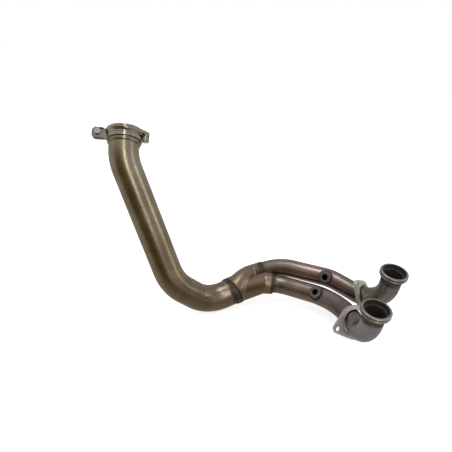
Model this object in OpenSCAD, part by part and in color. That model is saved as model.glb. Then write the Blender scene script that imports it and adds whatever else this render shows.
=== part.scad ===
// Two-into-one exhaust header for a parallel twin engine, in millimetres.
// Two bent header pipes run from the ports into a Y collector, and one large pipe leads on to an end clamp.
// Every pipe is bent data: a straight length, a turn of the bending plane, a bend radius and a bend angle.

/* [Header pipes] */
// Outer diameter of both header pipes
header_od = 34; // [30:0.5:38]
// Wall of the header pipes
header_wall = 1.5; // [1:0.1:2.5]
// Bend radius of the elbows behind the port collars
elbow_radius = 48.4; // [44:0.2:60]
// Distance between the two exhaust ports
port_spacing = 105.4; // [96:0.2:120]

/* [Front pipe bends] */
// Straight length from the mouth to the front elbow
front_neck = 27.6; // [24:0.2:34]
// Direction of the front elbow, turned about the port axis
front_elbow_turn = -126.3; // [-130:0.1:-122]
// Angle of the front elbow
front_elbow_angle = 81.4; // [78:0.1:84]
// Radius of the long sweep that brings the front pipe across
front_sweep_radius = 121.1; // [112:0.1:126]
// Angle of that sweep
front_sweep_angle = 52.7; // [50:0.1:55]
// Straight length between the sweep and the last front bend
front_run = 44.5; // [40:0.5:50]
// Radius of the last front bend
front_last_radius = 61.1; // [56:0.1:66]
// Angle of the last front bend
front_last_angle = 37; // [34:0.1:40]

/* [Back pipe bends] */
// Straight length from the mouth to the back elbow
back_neck = 30.7; // [26:0.2:36]
// Direction of the back elbow, turned about the port axis
back_elbow_turn = -170.3; // [-174:0.1:-166]
// Angle of the back elbow
back_elbow_angle = 90.6; // [87:0.1:94]
// Straight length from the back elbow to its second bend
back_run_a = 39.1; // [34:0.5:44]
// Radius of the second back bend
back_second_radius = 86.2; // [78:0.1:94]
// Angle of the second back bend
back_second_angle = 16.9; // [14:0.1:20]
// Straight length between the second and last back bends
back_run_b = 61.5; // [56:0.5:66]
// Radius of the last back bend
back_last_radius = 99.2; // [90:0.1:106]
// Angle of the last back bend
back_last_angle = 33.9; // [31:0.1:37]

/* [Main pipe] */
// Outer diameter of the main pipe
main_od = 50.8; // [46:0.2:54]
// Wall of the main pipe
main_wall = 1.6; // [1:0.1:2.5]
// Distance of the start of the main pipe from the front mouth, along the header
main_start_x = -248.43; // [-260:0.1:-236]
// Distance of the start of the main pipe from the front mouth, across the header
main_start_y = 39.03; // [30:0.1:48]
// Distance of the start of the main pipe below the front mouth
main_start_z = -127.14; // [-136:0.1:-118]
// Straight length where the main pipe leaves the collector
main_lead = 28.5; // [26:0.5:34]
// Radius and angle of the first bend of the main pipe
main_bend_a_radius = 62.2; // [56:0.1:68]
// Angle of the first main bend
main_bend_a_angle = 57.7; // [55:0.1:60]
// Straight length between the first and second main bends
main_mid = 26.5; // [22:0.5:32]
// Radius of the second main bend
main_bend_b_radius = 78.3; // [72:0.1:84]
// Angle of the second main bend
main_bend_b_angle = 39.2; // [37:0.1:42]
// Length of the long straight
main_long = 185.9; // [160:0.5:210]
// Radius of the last main bend
main_bend_c_radius = 75.2; // [70:0.1:80]
// Angle of the last main bend
main_bend_c_angle = 32.3; // [30:0.1:35]
// Straight end of the main pipe, under the clamp
main_tail = 26; // [24:0.5:32]

/* [Port collars] */
// Outer diameter of the two port collars
collar_od = 45.6; // [43:0.2:48]
// Bore of the collars at the mouth
collar_bore = 37.6; // [36:0.2:40]
// Height of the mouth lip and of the seat ring under it
collar_ring = 3.2; // [2.6:0.1:4]
// Height of the groove between lip and seat ring
collar_groove = 1.8; // [1.2:0.1:2.6]
// Depth of the groove
collar_groove_depth = 2; // [1:0.1:2.6]
// Length of the thin neck below the seat ring
collar_neck = 6.8; // [5:0.1:9]
// Wall of the neck
collar_neck_wall = 1.1; // [0.8:0.1:1.6]

/* [Loose port flanges] */
// Distance between the two stud holes of a port flange
stud_pcd = 66; // [62:0.5:72]
// Diameter of the stud holes
stud_hole = 8.4; // [8:0.1:9]
// Radius of each ear
ear_radius = 7.8; // [7:0.1:9]
// Outer diameter of the ring of a port flange
flange_od = 56; // [54:0.2:60]
// Thickness of the flange plate
plate_thickness = 5; // [4:0.1:6]
// Radial play between flange plate and pipe
flange_play = 4.5; // [4:0.1:5]
// How far the front flange has slid round its elbow, in degrees of bend
front_flange_slide = 87.3; // [80:0.1:92]
// Sideways lean of the front flange on its pipe
front_flange_side = 13.8; // [8:0.1:18]
// Backward lean of the front flange on its pipe
front_flange_back = 34.3; // [28:0.1:38]
// Turn of the ears of the front flange about the pipe
front_ear_turn = 260.8; // [250:0.2:270]
// How far the front flange sags in the plane of its elbow
front_flange_sag = -0.85; // [-2:0.05:2]
// How far the front flange sags across its elbow
front_flange_shift = 1.63; // [-2:0.05:2]
// How far the back flange has slid round its elbow, in degrees of bend
back_flange_slide = 73.8; // [66:0.1:82]
// Sideways lean of the back flange on its pipe
back_flange_side = 10.4; // [4:0.1:16]
// Backward lean of the back flange on its pipe
back_flange_back = 12.6; // [6:0.1:18]
// Turn of the ears of the back flange about the pipe
back_ear_turn = -21; // [-30:1:30]
// How far the back flange sags in the plane of its elbow
back_flange_sag = -0.75; // [-2:0.05:2]
// How far the back flange sags across its elbow
back_flange_shift = -0.71; // [-2:0.05:2]

/* [Sensor bosses] */
// Outer diameter of the oxygen sensor bosses
boss_od = 21; // [19:0.2:24]
// Wall radius of the tapped hole, for an M12 thread
boss_hole_radius = 5.4; // [5:0.05:6]
// Height of a boss above the pipe wall
boss_height = 6; // [5:0.2:10]
// Place of the front boss along the pipe from the start of the sweep
front_boss_along = 94.9; // [88:0.1:104]
// Turn of the front boss about the pipe
front_boss_turn = 47.6; // [20:0.1:60]
// Place of the back boss along the pipe from the end of the second bend
back_boss_along = -6.3; // [-10:0.1:20]
// Turn of the back boss about the pipe
back_boss_turn = 67.5; // [50:0.1:90]

/* [Collector] */
// Wall of the collector
collector_wall = 1.8; // [1.4:0.1:2.4]
// How far the front leg reaches over its pipe
front_leg_cover = 16.8; // [12:0.4:20]
// How far the back leg reaches over its pipe
back_leg_cover = 13; // [11:0.5:16]
// Mean length of the outlet socket round the main pipe
outlet_cover = 14; // [12:0.5:18]
// Slant of the outlet socket's end
outlet_slant = 22; // [0:0.5:24]
// Direction, round the main pipe, in which the slanted end reaches furthest
outlet_slant_turn = -72.8; // [-90:0.2:-50]
// Extra radius of the front leg, which is a size larger than its pipe
front_leg_swell = 1.4; // [0:0.1:2]
// Extra radius of the rolled lips at the socket ends
lip_rise = 0.9; // [0.5:0.1:1.6]

/* [End clamp] */
// Height of the clamp along the pipe
clamp_height = 19; // [17:0.2:22]
// Wall of the clamp
clamp_wall = 2.1; // [1.6:0.1:2.6]
// How far the domed upper part stands out from the band's inside
dome_swell = 4.4; // [3.6:0.1:6]
// Height of the plain band below the dome
band_height = 5.5; // [4:0.1:7]
// Turn of the bolt ears about the pipe
clamp_turn = 136; // [100:1:150]
// Gap between the two clamp halves
clamp_gap = 4; // [3:0.1:6]
// Length of the bolt ears, out from the band's inside
ear_length = 26.6; // [23:0.1:29]
// How far the bolt ears stand above the middle of the clamp
ear_lift = 2.5; // [0:0.1:4]
// Distance of the clamp bolt from the band's inside
bolt_offset = 16.8; // [13:0.1:19]
// How far the bolt stands above the middle of the clamp
bolt_lift = 4; // [0:0.1:5]
// Diameter of the clamp bolt
bolt_diameter = 6; // [5:0.5:8]
// Radius of the hinge knuckles opposite the bolt
knuckle_radius = 6.4; // [5:0.1:8]

/* [Resting position] */
// Roll of the whole header, lying on its bends
rest_roll = 7.359; // [-10:0.05:10]
// Pitch of the whole header, lying on its bends
rest_pitch = 14.388; // [-5:0.05:30]
// Distance of the front mouth from the middle of the header, lengthwise
rest_shift_x = 219.68; // [150:0.01:300]
// Distance of the front mouth from the middle of the header, crosswise
rest_shift_y = -32.79; // [-120:0.01:60]
// Height of the front mouth above the floor
rest_lift = 89.579; // [-50:0.05:200]

/* [Hidden] */
pipe_fn = 36;
main_fn = 40;
ring_fn = 48;
small_fn = 20;
eps = 0.05;
// the seam weld between the legs: width, height and where it starts above the outlet
seam_width = 5;
seam_rise = 1.3;
seam_from = 12;
seam_length = 60;
seam_margin = 10;
// how far a bend draws in, and how far the straights lap over it
draw_in = 0.06;
lap = 0.8;
header_r = header_od / 2;
header_ir = header_r - header_wall;
main_r = main_od / 2;
main_ir = main_r - main_wall;
collar_r = collar_od / 2;
collar_height = 2 * collar_ring + collar_groove;
seat_depth = collar_height - 1.2;
neck_end = collar_height + collar_neck;
boss_foot = 6;
neck_r = header_r + collar_neck_wall;
flange_hole_r = header_r + flange_play;
bead = 2.2;
leg_r = header_r + collector_wall;
front_leg_r = leg_r + front_leg_swell;
socket_r = main_r + collector_wall;
// turns of the bending plane between one bend and the next
front_turns = [front_elbow_turn, -97.6, 15.3];
back_turns = [back_elbow_turn, -123.3, -4.9];
main_turns = [185.5, 35.8, 10.1];
// short straights: after the front elbow, and at the collector ends of the header pipes
front_link = 0.7;
front_tail = 9.4;
back_tail = 16;
// where the main pipe starts, and the heading it starts with
main_start = [main_start_x, main_start_y, main_start_z];
main_azimuth = -125.74;
main_incline = 107.08;

front_run_data = [[front_neck, front_turns[0], elbow_radius, front_elbow_angle],
  [front_link, front_turns[1], front_sweep_radius, front_sweep_angle],
  [front_run, front_turns[2], front_last_radius, front_last_angle]];
back_run_data = [[back_neck, back_turns[0], elbow_radius, back_elbow_angle],
  [back_run_a, back_turns[1], back_second_radius, back_second_angle],
  [back_run_b, back_turns[2], back_last_radius, back_last_angle]];
main_run_data = [[main_lead, main_turns[0], main_bend_a_radius, main_bend_a_angle],
  [main_mid, main_turns[1], main_bend_b_radius, main_bend_b_angle],
  [main_long, main_turns[2], main_bend_c_radius, main_bend_c_angle]];

// small matrices: a move, a turn about z, a turn about y and a turn about x
function move_m(x, y, z) = [[1, 0, 0, x], [0, 1, 0, y], [0, 0, 1, z], [0, 0, 0, 1]];
function turn_z(a) = [[cos(a), -sin(a), 0, 0], [sin(a), cos(a), 0, 0], [0, 0, 1, 0], [0, 0, 0, 1]];
function turn_y(a) = [[cos(a), 0, sin(a), 0], [0, 1, 0, 0], [-sin(a), 0, cos(a), 0], [0, 0, 0, 1]];
function turn_x(a) = [[1, 0, 0, 0], [0, cos(a), -sin(a), 0], [0, sin(a), cos(a), 0], [0, 0, 0, 1]];
// the frame after a bend of radius r and angle a that starts along z and leans towards x
function bend_m(r, a) = move_m(r * (1 - cos(a)), 0, r * sin(a)) * turn_y(a);
// the frame after one row of bend data
function row_m(row) = move_m(0, 0, row[0]) * turn_z(row[1]) * bend_m(row[2], row[3]);
// the frame after the first n rows
function after(data, n) = n == 0 ? move_m(0, 0, 0) : after(data, n - 1) * row_m(data[n - 1]);
// the frame in row n, part of the way round its bend
function in_bend(data, n, a) = after(data, n) * move_m(0, 0, data[n][0]) * turn_z(data[n][1])
  * bend_m(data[n][2], a);

front_origin = move_m(0, 0, 0) * turn_x(180);
back_origin = move_m(0, port_spacing, 0) * turn_x(180);
main_origin = move_m(main_start[0], main_start[1], main_start[2]) * turn_z(main_azimuth) * turn_y(main_incline);
front_end = front_origin * after(front_run_data, 3) * move_m(0, 0, front_tail);
back_end = back_origin * after(back_run_data, 3) * move_m(0, 0, back_tail);
tail_frame = main_origin * after(main_run_data, 3);
// the clamp stands a little above the pipe's end
clamp_base = main_tail - clamp_height + 1.3;
clamp_frame = tail_frame * move_m(0, 0, clamp_base) * turn_z(clamp_turn);
// the sleeve under the clamp: where it starts, its radius, and the flare's radius
sleeve_from = 3.3;
sleeve_r = main_r + 2.1;
flare_r = main_r + 4.2;
clamp_r = sleeve_r + 0.1;
dome_radius = clamp_r + dome_swell;
ear_reach = clamp_r + ear_length;
bolt_reach = clamp_r + bolt_offset;
bolt_level = clamp_height / 2 + bolt_lift;
step_low = band_height + 3.6;
step_high = step_low + 2;
fold_height = 3;
fold_wall = 1.6;
hinge_reach = dome_radius + 3;
hinge_pin_r = 2.6;
knuckle_length = clamp_height / 2 - 1.9;
knuckle_low = 1.5;
knuckle_high = knuckle_low + knuckle_length + 0.8;
pin_length = knuckle_high + knuckle_length - knuckle_low + 0.6;
grip = clamp_gap / 2 + clamp_wall;
hex_r = bolt_diameter * 0.96;
washer_h = 1.2;
thread_over = 8.5;

// a solid bend that starts along z and leans towards x
module solid_arc(r, a, ro, f) {
  translate([r, 0, 0]) rotate([90, 0, 0]) rotate([0, 0, 180 - a])
    rotate_extrude(angle = a, $fn = f * 2) translate([r, 0]) circle(r = ro, $fn = f);
}

// the solid of a bent pipe: straights a hair thicker than the bends, which draw in a little
module solid_run(data, tail, ro, f, start = 0, spill = 0) {
  for (i = [0 : len(data) - 1]) multmatrix(after(data, i)) {
    low = i == 0 ? start - spill : -lap;
    translate([0, 0, low]) cylinder(r = ro, h = data[i][0] + lap - low, $fn = f);
    translate([0, 0, data[i][0]]) rotate([0, 0, data[i][1]]) solid_arc(data[i][2], data[i][3], ro - draw_in, f);
  }
  multmatrix(after(data, len(data))) translate([0, 0, -lap]) cylinder(r = ro, h = tail + lap + spill, $fn = f);
}

// the same pipe, hollow
module bent_pipe(data, tail, ro, ri, f, start = 0) {
  difference() {
    solid_run(data, tail, ro, f, start);
    solid_run(data, tail, ri, f, start, 1);
  }
}

// puts the header down as it lies on the floor
module set_down() {
  translate([rest_shift_x, rest_shift_y, rest_lift]) rotate([rest_roll, rest_pitch, 0]) children();
}

// one turned collar: mouth lip, groove, seat ring and thin neck
module collar_shape() {
  half = collar_ring / 2;
  rotate([180, 0, 0]) rotate_extrude($fn = ring_fn) difference() {
    union() {
      translate([0, 0]) square([collar_r - half, collar_ring]);
      translate([collar_r - half, half]) circle(r = half, $fn = small_fn);
      square([collar_r - collar_groove_depth, collar_height]);
      translate([0, collar_ring + collar_groove]) square([collar_r - half, collar_ring]);
      translate([collar_r - half, collar_ring + collar_groove + half]) circle(r = half, $fn = small_fn);
      square([neck_r, neck_end]);
    }
    square([header_r, neck_end + eps]);
    translate([0, -eps]) square([collar_bore / 2, seat_depth + eps]);
  }
}

// a weld bead round a pipe of radius r, lying against a shoulder at z = 0
module bead_ring(r, size, f) {
  rotate_extrude($fn = f) polygon([[r, 0], [r + size, 0], [r + size * 0.92, size * 0.45],
    [r + size * 0.5, size * 0.86], [r, size]]);
}

// a flat port flange: a ring with two ears, the pipe hole and the stud holes
module port_flange_shape() {
  difference() {
    linear_extrude(height = plate_thickness) hull() {
      circle(r = flange_od / 2, $fn = ring_fn);
      for (side = [-1, 1]) translate([side * stud_pcd / 2, 0]) circle(r = ear_radius, $fn = small_fn);
    }
    translate([0, 0, -1]) cylinder(r = flange_hole_r, h = plate_thickness + 2, $fn = ring_fn);
    for (side = [-1, 1]) translate([side * stud_pcd / 2, 0, -1])
      cylinder(r = stud_hole / 2, h = plate_thickness + 2, $fn = small_fn);
  }
}

// puts a loose flange where it has slid to, leaning on its pipe
module on_elbow(origin, data, slide, sag, shift, side_lean, back_lean, ear_turn) {
  multmatrix(origin * in_bend(data, 0, slide) * move_m(sag, shift, 0)) rotate([side_lean, 0, 0])
    rotate([0, -back_lean, 0]) rotate([0, 0, ear_turn]) translate([0, 0, -plate_thickness / 2]) children();
}

module front_port_collar() color([0.47, 0.45, 0.41]) collar_shape();

module back_port_collar() color([0.47, 0.45, 0.41]) translate([0, port_spacing, 0]) collar_shape();

module front_collar_weld() color([0.36, 0.33, 0.3]) multmatrix(front_origin) translate([0, 0, neck_end])
  bead_ring(header_r, collar_neck_wall + 0.5, pipe_fn);

module back_collar_weld() color([0.36, 0.33, 0.3]) multmatrix(back_origin) translate([0, 0, neck_end])
  bead_ring(header_r, collar_neck_wall + 0.5, pipe_fn);

module front_header_pipe() color([0.43, 0.36, 0.34]) difference() {
  multmatrix(front_origin) bent_pipe(front_run_data, front_tail, header_r, header_ir, pipe_fn, seat_depth);
  multmatrix(front_boss_frame) cylinder(r = boss_hole_radius, h = header_r + 1, $fn = small_fn);
}

module back_header_pipe() color([0.43, 0.36, 0.34]) difference() {
  multmatrix(back_origin) bent_pipe(back_run_data, back_tail, header_r, header_ir, pipe_fn, seat_depth);
  multmatrix(back_boss_frame) cylinder(r = boss_hole_radius, h = header_r + 1, $fn = small_fn);
}

module front_port_flange() color([0.59, 0.58, 0.54])
  on_elbow(front_origin, front_run_data, front_flange_slide, front_flange_sag, front_flange_shift,
    front_flange_side, front_flange_back, front_ear_turn)
  port_flange_shape();

module back_port_flange() color([0.59, 0.58, 0.54])
  on_elbow(back_origin, back_run_data, back_flange_slide, back_flange_sag, back_flange_shift,
    back_flange_side, back_flange_back, back_ear_turn)
  port_flange_shape();

// boss frames: the origin on the pipe's axis, z out through the boss
front_boss_angle = front_boss_along / front_sweep_radius * 180 / PI;
front_boss_frame = front_origin * in_bend(front_run_data, 1, front_boss_angle) * turn_z(front_boss_turn)
  * turn_y(90);
back_boss_frame = back_origin * after(back_run_data, 2) * move_m(0, 0, back_boss_along)
  * turn_z(back_boss_turn) * turn_y(90);

// a boss with its foot cut to the pipe that it stands on
module boss_shape(frame) {
  difference() {
    multmatrix(frame) rotate_extrude($fn = pipe_fn)
      polygon([[boss_hole_radius, header_r - boss_foot], [boss_od / 2, header_r - boss_foot],
        [boss_od / 2, header_r + boss_height - 1], [boss_od / 2 - 1, header_r + boss_height],
        [boss_hole_radius, header_r + boss_height]]);
    children();
  }
}

// the weld round a boss foot: a low collar cut to the pipe and the boss
module boss_weld_shape(frame) {
  difference() {
    multmatrix(frame) rotate_extrude($fn = pipe_fn)
      polygon([[boss_od / 2, header_r - boss_foot], [boss_od / 2 + bead + 1.2, header_r - boss_foot],
        [boss_od / 2 + bead, header_r - 1], [boss_od / 2 + 0.6, header_r + 1], [boss_od / 2, header_r + 1.2]]);
    children();
  }
}

module front_sensor_boss() color([0.38, 0.36, 0.34]) boss_shape(front_boss_frame)
  multmatrix(front_origin) solid_run(front_run_data, front_tail, header_r, pipe_fn);

module back_sensor_boss() color([0.38, 0.36, 0.34]) boss_shape(back_boss_frame)
  multmatrix(back_origin) solid_run(back_run_data, back_tail, header_r, pipe_fn);

module front_boss_weld() color([0.33, 0.3, 0.28]) boss_weld_shape(front_boss_frame)
  multmatrix(front_origin) solid_run(front_run_data, front_tail, header_r, pipe_fn);

module back_boss_weld() color([0.33, 0.3, 0.28]) boss_weld_shape(back_boss_frame)
  multmatrix(back_origin) solid_run(back_run_data, back_tail, header_r, pipe_fn);

// how much of a leg's cover lies on the pipe's last bend, in millimetres and degrees
front_bent = max(0, front_leg_cover - front_tail);
back_bent = max(0, back_leg_cover - back_tail);
front_bent_a = front_bent / front_last_radius * 180 / PI;
back_bent_a = back_bent / back_last_radius * 180 / PI;
front_mouth = front_bent > 0 ? front_origin * in_bend(front_run_data, 2, front_last_angle - front_bent_a)
  : front_end * move_m(0, 0, -front_leg_cover);
back_mouth = back_bent > 0 ? back_origin * in_bend(back_run_data, 2, back_last_angle - back_bent_a)
  : back_end * move_m(0, 0, -back_leg_cover);

// one socket of the collector with its rolled lip
module leg_socket(mouth, end, cover, tail, r, bent_a, ro) {
  plain = min(cover, tail);
  if (bent_a > 0) multmatrix(mouth) solid_arc(r, bent_a, ro - draw_in, pipe_fn);
  multmatrix(end) translate([0, 0, -plain - (bent_a > 0 ? lap : 0)])
    cylinder(r = ro, h = plain + (bent_a > 0 ? lap : 0), $fn = pipe_fn);
  multmatrix(mouth) translate([0, 0, -eps]) cylinder(r = ro + lip_rise, h = 2.6, $fn = pipe_fn);
}

// the outlet's slanted end plane, and a slab of space measured from it
outlet_plane = main_origin * move_m(0, 0, outlet_cover) * turn_z(outlet_slant_turn) * turn_y(-outlet_slant);
outlet_length = outlet_cover + (socket_r + lip_rise) * tan(outlet_slant) + bead;
module outlet_slab(from, to) {
  multmatrix(outlet_plane) translate([-2 * socket_r, -2 * socket_r, from]) cube([4 * socket_r, 4 * socket_r, to - from]);
}

// the body of one leg: a loft from the pipe's end to the outlet socket
module leg_loft(frame, ro, rm) {
  hull() {
    multmatrix(frame) translate([0, 0, -1]) cylinder(r = ro, h = 1, $fn = pipe_fn);
    multmatrix(main_origin) translate([0, 0, -1]) cylinder(r = rm, h = 1, $fn = main_fn);
  }
}

// the collector's outer form, solid
module collector_outside() {
  leg_loft(front_end, front_leg_r + 0.2, socket_r + 0.2);
  leg_loft(back_end, leg_r + 0.2, socket_r + 0.5);
  leg_socket(front_mouth, front_end, front_leg_cover, front_tail, front_last_radius, front_bent_a, front_leg_r);
  leg_socket(back_mouth, back_end, back_leg_cover, back_tail, back_last_radius, back_bent_a, leg_r);
  intersection() {
    multmatrix(main_origin) translate([0, 0, -0.5]) cylinder(r = socket_r, h = outlet_length, $fn = main_fn);
    outlet_slab(-4 * socket_r, 0);
  }
  intersection() {
    multmatrix(main_origin) translate([0, 0, -0.5]) cylinder(r = socket_r + lip_rise, h = outlet_length, $fn = main_fn);
    outlet_slab(-3, eps);
  }
}

module collector() color([0.43, 0.37, 0.31]) {
  difference() {
    collector_outside();
    leg_loft(front_end, header_ir + 0.3, main_ir + 0.3);
    leg_loft(back_end, header_ir + 0.3, main_ir + 0.6);
    multmatrix(front_mouth) translate([0, 0, -1]) cylinder(r = header_r, h = 1 + lap, $fn = pipe_fn);
    if (front_bent > 0) multmatrix(front_mouth) solid_arc(front_last_radius, front_bent_a, header_r - draw_in, pipe_fn);
    multmatrix(front_end) translate([0, 0, -min(front_tail, front_leg_cover) - lap])
      cylinder(r = header_r, h = min(front_tail, front_leg_cover) + lap, $fn = pipe_fn);
    multmatrix(back_end) translate([0, 0, -back_leg_cover - 1])
      cylinder(r = header_r, h = back_leg_cover + 1, $fn = pipe_fn);
    multmatrix(main_origin) cylinder(r = main_r, h = outlet_length + 1, $fn = main_fn);
  }
}

// each leg's weld gives way where the other leg runs over it
module front_leg_weld() color([0.35, 0.3, 0.25]) difference() {
  multmatrix(front_mouth) mirror([0, 0, 1]) translate([0, 0, eps]) bead_ring(header_r, bead, pipe_fn);
  leg_loft(back_end, leg_r + 0.2 + eps, socket_r + 0.5 + eps);
}

module back_leg_weld() color([0.35, 0.3, 0.25]) difference() {
  multmatrix(back_mouth) mirror([0, 0, 1]) translate([0, 0, eps]) bead_ring(header_r, bead, pipe_fn);
  leg_loft(front_end, front_leg_r + 0.2 + eps, socket_r + 0.2 + eps);
}

module outlet_weld() color([0.35, 0.3, 0.25]) difference() {
  intersection() {
    multmatrix(main_origin) cylinder(r = main_r + bead * 0.8, h = outlet_length + bead, $fn = main_fn);
    outlet_slab(2 * eps, bead);
  }
  multmatrix(main_origin) translate([0, 0, -1]) cylinder(r = main_r, h = outlet_length + bead + 2, $fn = main_fn);
}

// the seam plane between the two legs: x across the seam, y from the outlet towards the fork
function place(m) = [m[0][3], m[1][3], m[2][3]];
function unit(v) = v / norm(v);
front_way = unit(place(front_end) - place(main_origin));
back_way = unit(place(back_end) - place(main_origin));
seam_x = unit(front_way - back_way);
seam_y = unit(front_way + back_way);
seam_z = cross(seam_x, seam_y);
seam_frame = [[seam_x[0], seam_y[0], seam_z[0], main_start[0]], [seam_x[1], seam_y[1], seam_z[1], main_start[1]],
  [seam_x[2], seam_y[2], seam_z[2], main_start[2]], [0, 0, 0, 1]];

// the weld along the seam where the two legs are joined, from the outlet up into the fork
module crotch_weld() color([0.37, 0.32, 0.27]) difference() {
  intersection() {
    union() {
      leg_loft(front_end, front_leg_r + 0.2 + seam_rise, socket_r + 0.2 + seam_rise);
      leg_loft(back_end, leg_r + 0.2 + seam_rise, socket_r + 0.5 + seam_rise);
    }
    multmatrix(seam_frame) translate([-seam_width / 2, seam_from, -socket_r - seam_margin])
      cube([seam_width, seam_length, 2 * (socket_r + seam_margin)]);
  }
  collector_outside();
}

module main_pipe() color([0.42, 0.37, 0.26])
  multmatrix(main_origin) bent_pipe(main_run_data, main_tail, main_r, main_ir, main_fn);

// the sleeve and flared ring at the pipe's end that the clamp grips
module outlet_collar() color([0.44, 0.41, 0.34]) multmatrix(tail_frame) rotate_extrude($fn = ring_fn)
  polygon([[main_r, sleeve_from], [sleeve_r + 0.3, sleeve_from], [sleeve_r + 0.3, sleeve_from + 3.4],
    [sleeve_r, sleeve_from + 4], [sleeve_r, clamp_base + step_low], [flare_r, clamp_base + step_high + 0.6],
    [flare_r, main_tail - 1], [flare_r - 1, main_tail], [main_r, main_tail]]);

module outlet_collar_weld() color([0.36, 0.32, 0.26]) multmatrix(tail_frame) translate([0, 0, sleeve_from])
  mirror([0, 0, 1]) bead_ring(main_r, bead, main_fn);

// the section of the clamp band: plain band, waist and dome
module clamp_section() {
  polygon([[clamp_r, 0], [clamp_r + clamp_wall, 0], [clamp_r + clamp_wall, band_height],
    [clamp_r + clamp_wall - 0.9, band_height + 1.2], [clamp_r + clamp_wall - 0.9, step_low - 0.4],
    [dome_radius - 0.9, step_high - 0.2], [dome_radius, step_high + 1.6], [dome_radius, clamp_height - 2.6],
    [dome_radius - 0.8, clamp_height - 0.8], [dome_radius - 1.9, clamp_height], [flare_r + 0.3, clamp_height],
    [flare_r + 0.3, step_high + 0.5], [clamp_r, step_low]]);
}

// a core in the middle of the band's wall, which trims what is joined to its outside
module clamp_core() {
  rotate_extrude($fn = ring_fn) polygon([[0, -1], [clamp_r + 1, -1], [clamp_r + 1, step_low - 0.3],
    [flare_r + 1.3, step_high + 0.2], [flare_r + 1.3, clamp_height + 1], [0, clamp_height + 1]]);
}

// one ear plate on the +y side of the gap, with its two folded edges
module clamp_ear() {
  corner = 4;
  root = 8;
  y0 = clamp_gap / 2;
  long = ear_reach - clamp_r;
  low = 1 + ear_lift;
  high = clamp_height - 1 + ear_lift;
  translate([clamp_r, y0 + clamp_wall, 0]) rotate([90, 0, 0]) linear_extrude(height = clamp_wall)
    polygon([[0, 1], [root, low], [long - corner, low], [long - corner * 0.3, low + corner * 0.3], [long, low + corner],
      [long, high - corner], [long - corner * 0.3, high - corner * 0.3], [long - corner, high], [root, high],
      [0, clamp_height - 1.2]]);
  for (z = [low, high - fold_wall]) translate([clamp_r + root, y0 + clamp_wall / 2, z])
    cube([long - corner - root, fold_height + clamp_wall / 2, fold_wall]);
}

// the cowl that carries the dome's line on to the hinge, for the +y half
module hinge_cowl() {
  reach = hinge_reach + knuckle_radius + 1;
  translate([0, 0, step_high + 1]) linear_extrude(height = clamp_height - step_high - 2.4) intersection() {
    hull() {
      circle(r = dome_radius - 0.4, $fn = ring_fn);
      translate([-hinge_reach, 0]) circle(r = knuckle_radius - 0.4, $fn = small_fn);
    }
    translate([-reach, 0.1]) square([reach, reach]);
  }
}

// one half of the clamp on the +y side; low says if its knuckle is the lower or the upper one
module clamp_half(low) {
  mine = low ? knuckle_low : knuckle_high;
  other = low ? knuckle_high : knuckle_low;
  slit = asin(clamp_gap / 2 / clamp_r);
  difference() {
    union() {
      rotate([0, 0, slit]) rotate_extrude(angle = 178 - slit, $fn = ring_fn) clamp_section();
      difference() {
        union() {
          clamp_ear();
          translate([-hinge_reach, 0, mine]) cylinder(r = knuckle_radius, h = knuckle_length, $fn = small_fn);
          hinge_cowl();
        }
        clamp_core();
      }
    }
    translate([-hinge_reach, 0, other - 0.4])
      cylinder(r = knuckle_radius + 0.5, h = knuckle_length + 0.8, $fn = small_fn);
    translate([-hinge_reach, 0, -1]) cylinder(r = hinge_pin_r, h = clamp_height + 2, $fn = small_fn);
    translate([bolt_reach, 0, bolt_level]) rotate([-90, 0, 0])
      cylinder(r = bolt_diameter / 2 + 0.3, h = grip + 1, $fn = small_fn);
  }
}

module clamp_near_half() color([0.5, 0.47, 0.42]) multmatrix(clamp_frame) clamp_half(true);

module clamp_far_half() color([0.5, 0.47, 0.42]) multmatrix(clamp_frame) mirror([0, 1, 0]) clamp_half(false);

module clamp_hinge_pin() color([0.55, 0.57, 0.52]) multmatrix(clamp_frame) translate([-hinge_reach, 0, knuckle_low])
  rotate_extrude($fn = small_fn) polygon([[0, -1.6], [hinge_pin_r + 1.2, -1.6], [hinge_pin_r + 1.2, -0.1],
    [hinge_pin_r - 0.1, -0.1], [hinge_pin_r - 0.1, pin_length], [0, pin_length]]);

// the clamp bolt, its axis along y, with the head on the near side
module bolt_place() {
  multmatrix(clamp_frame) translate([bolt_reach, 0, bolt_level]) rotate([-90, 0, 0]) children();
}

module clamp_bolt() color([0.6, 0.6, 0.58]) bolt_place() {
  translate([0, 0, -grip - thread_over]) cylinder(r = bolt_diameter / 2, h = 2 * grip + thread_over + 1, $fn = small_fn);
  translate([0, 0, grip + 0.05]) cylinder(r = hex_r, h = bolt_diameter * 0.65, $fn = 6);
}

module clamp_washer() color([0.6, 0.6, 0.58]) bolt_place() translate([0, 0, -grip - washer_h - 0.05])
  difference() {
    cylinder(r = bolt_diameter, h = washer_h, $fn = small_fn);
    translate([0, 0, -1]) cylinder(r = bolt_diameter / 2 + 0.2, h = washer_h + 2, $fn = small_fn);
  }

module clamp_nut() color([0.6, 0.6, 0.58]) bolt_place()
  translate([0, 0, -grip - washer_h - 0.1 - bolt_diameter * 0.8]) difference() {
    cylinder(r = hex_r, h = bolt_diameter * 0.8, $fn = 6);
    translate([0, 0, -1]) cylinder(r = bolt_diameter / 2, h = bolt_diameter + 2, $fn = small_fn);
  }

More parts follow.
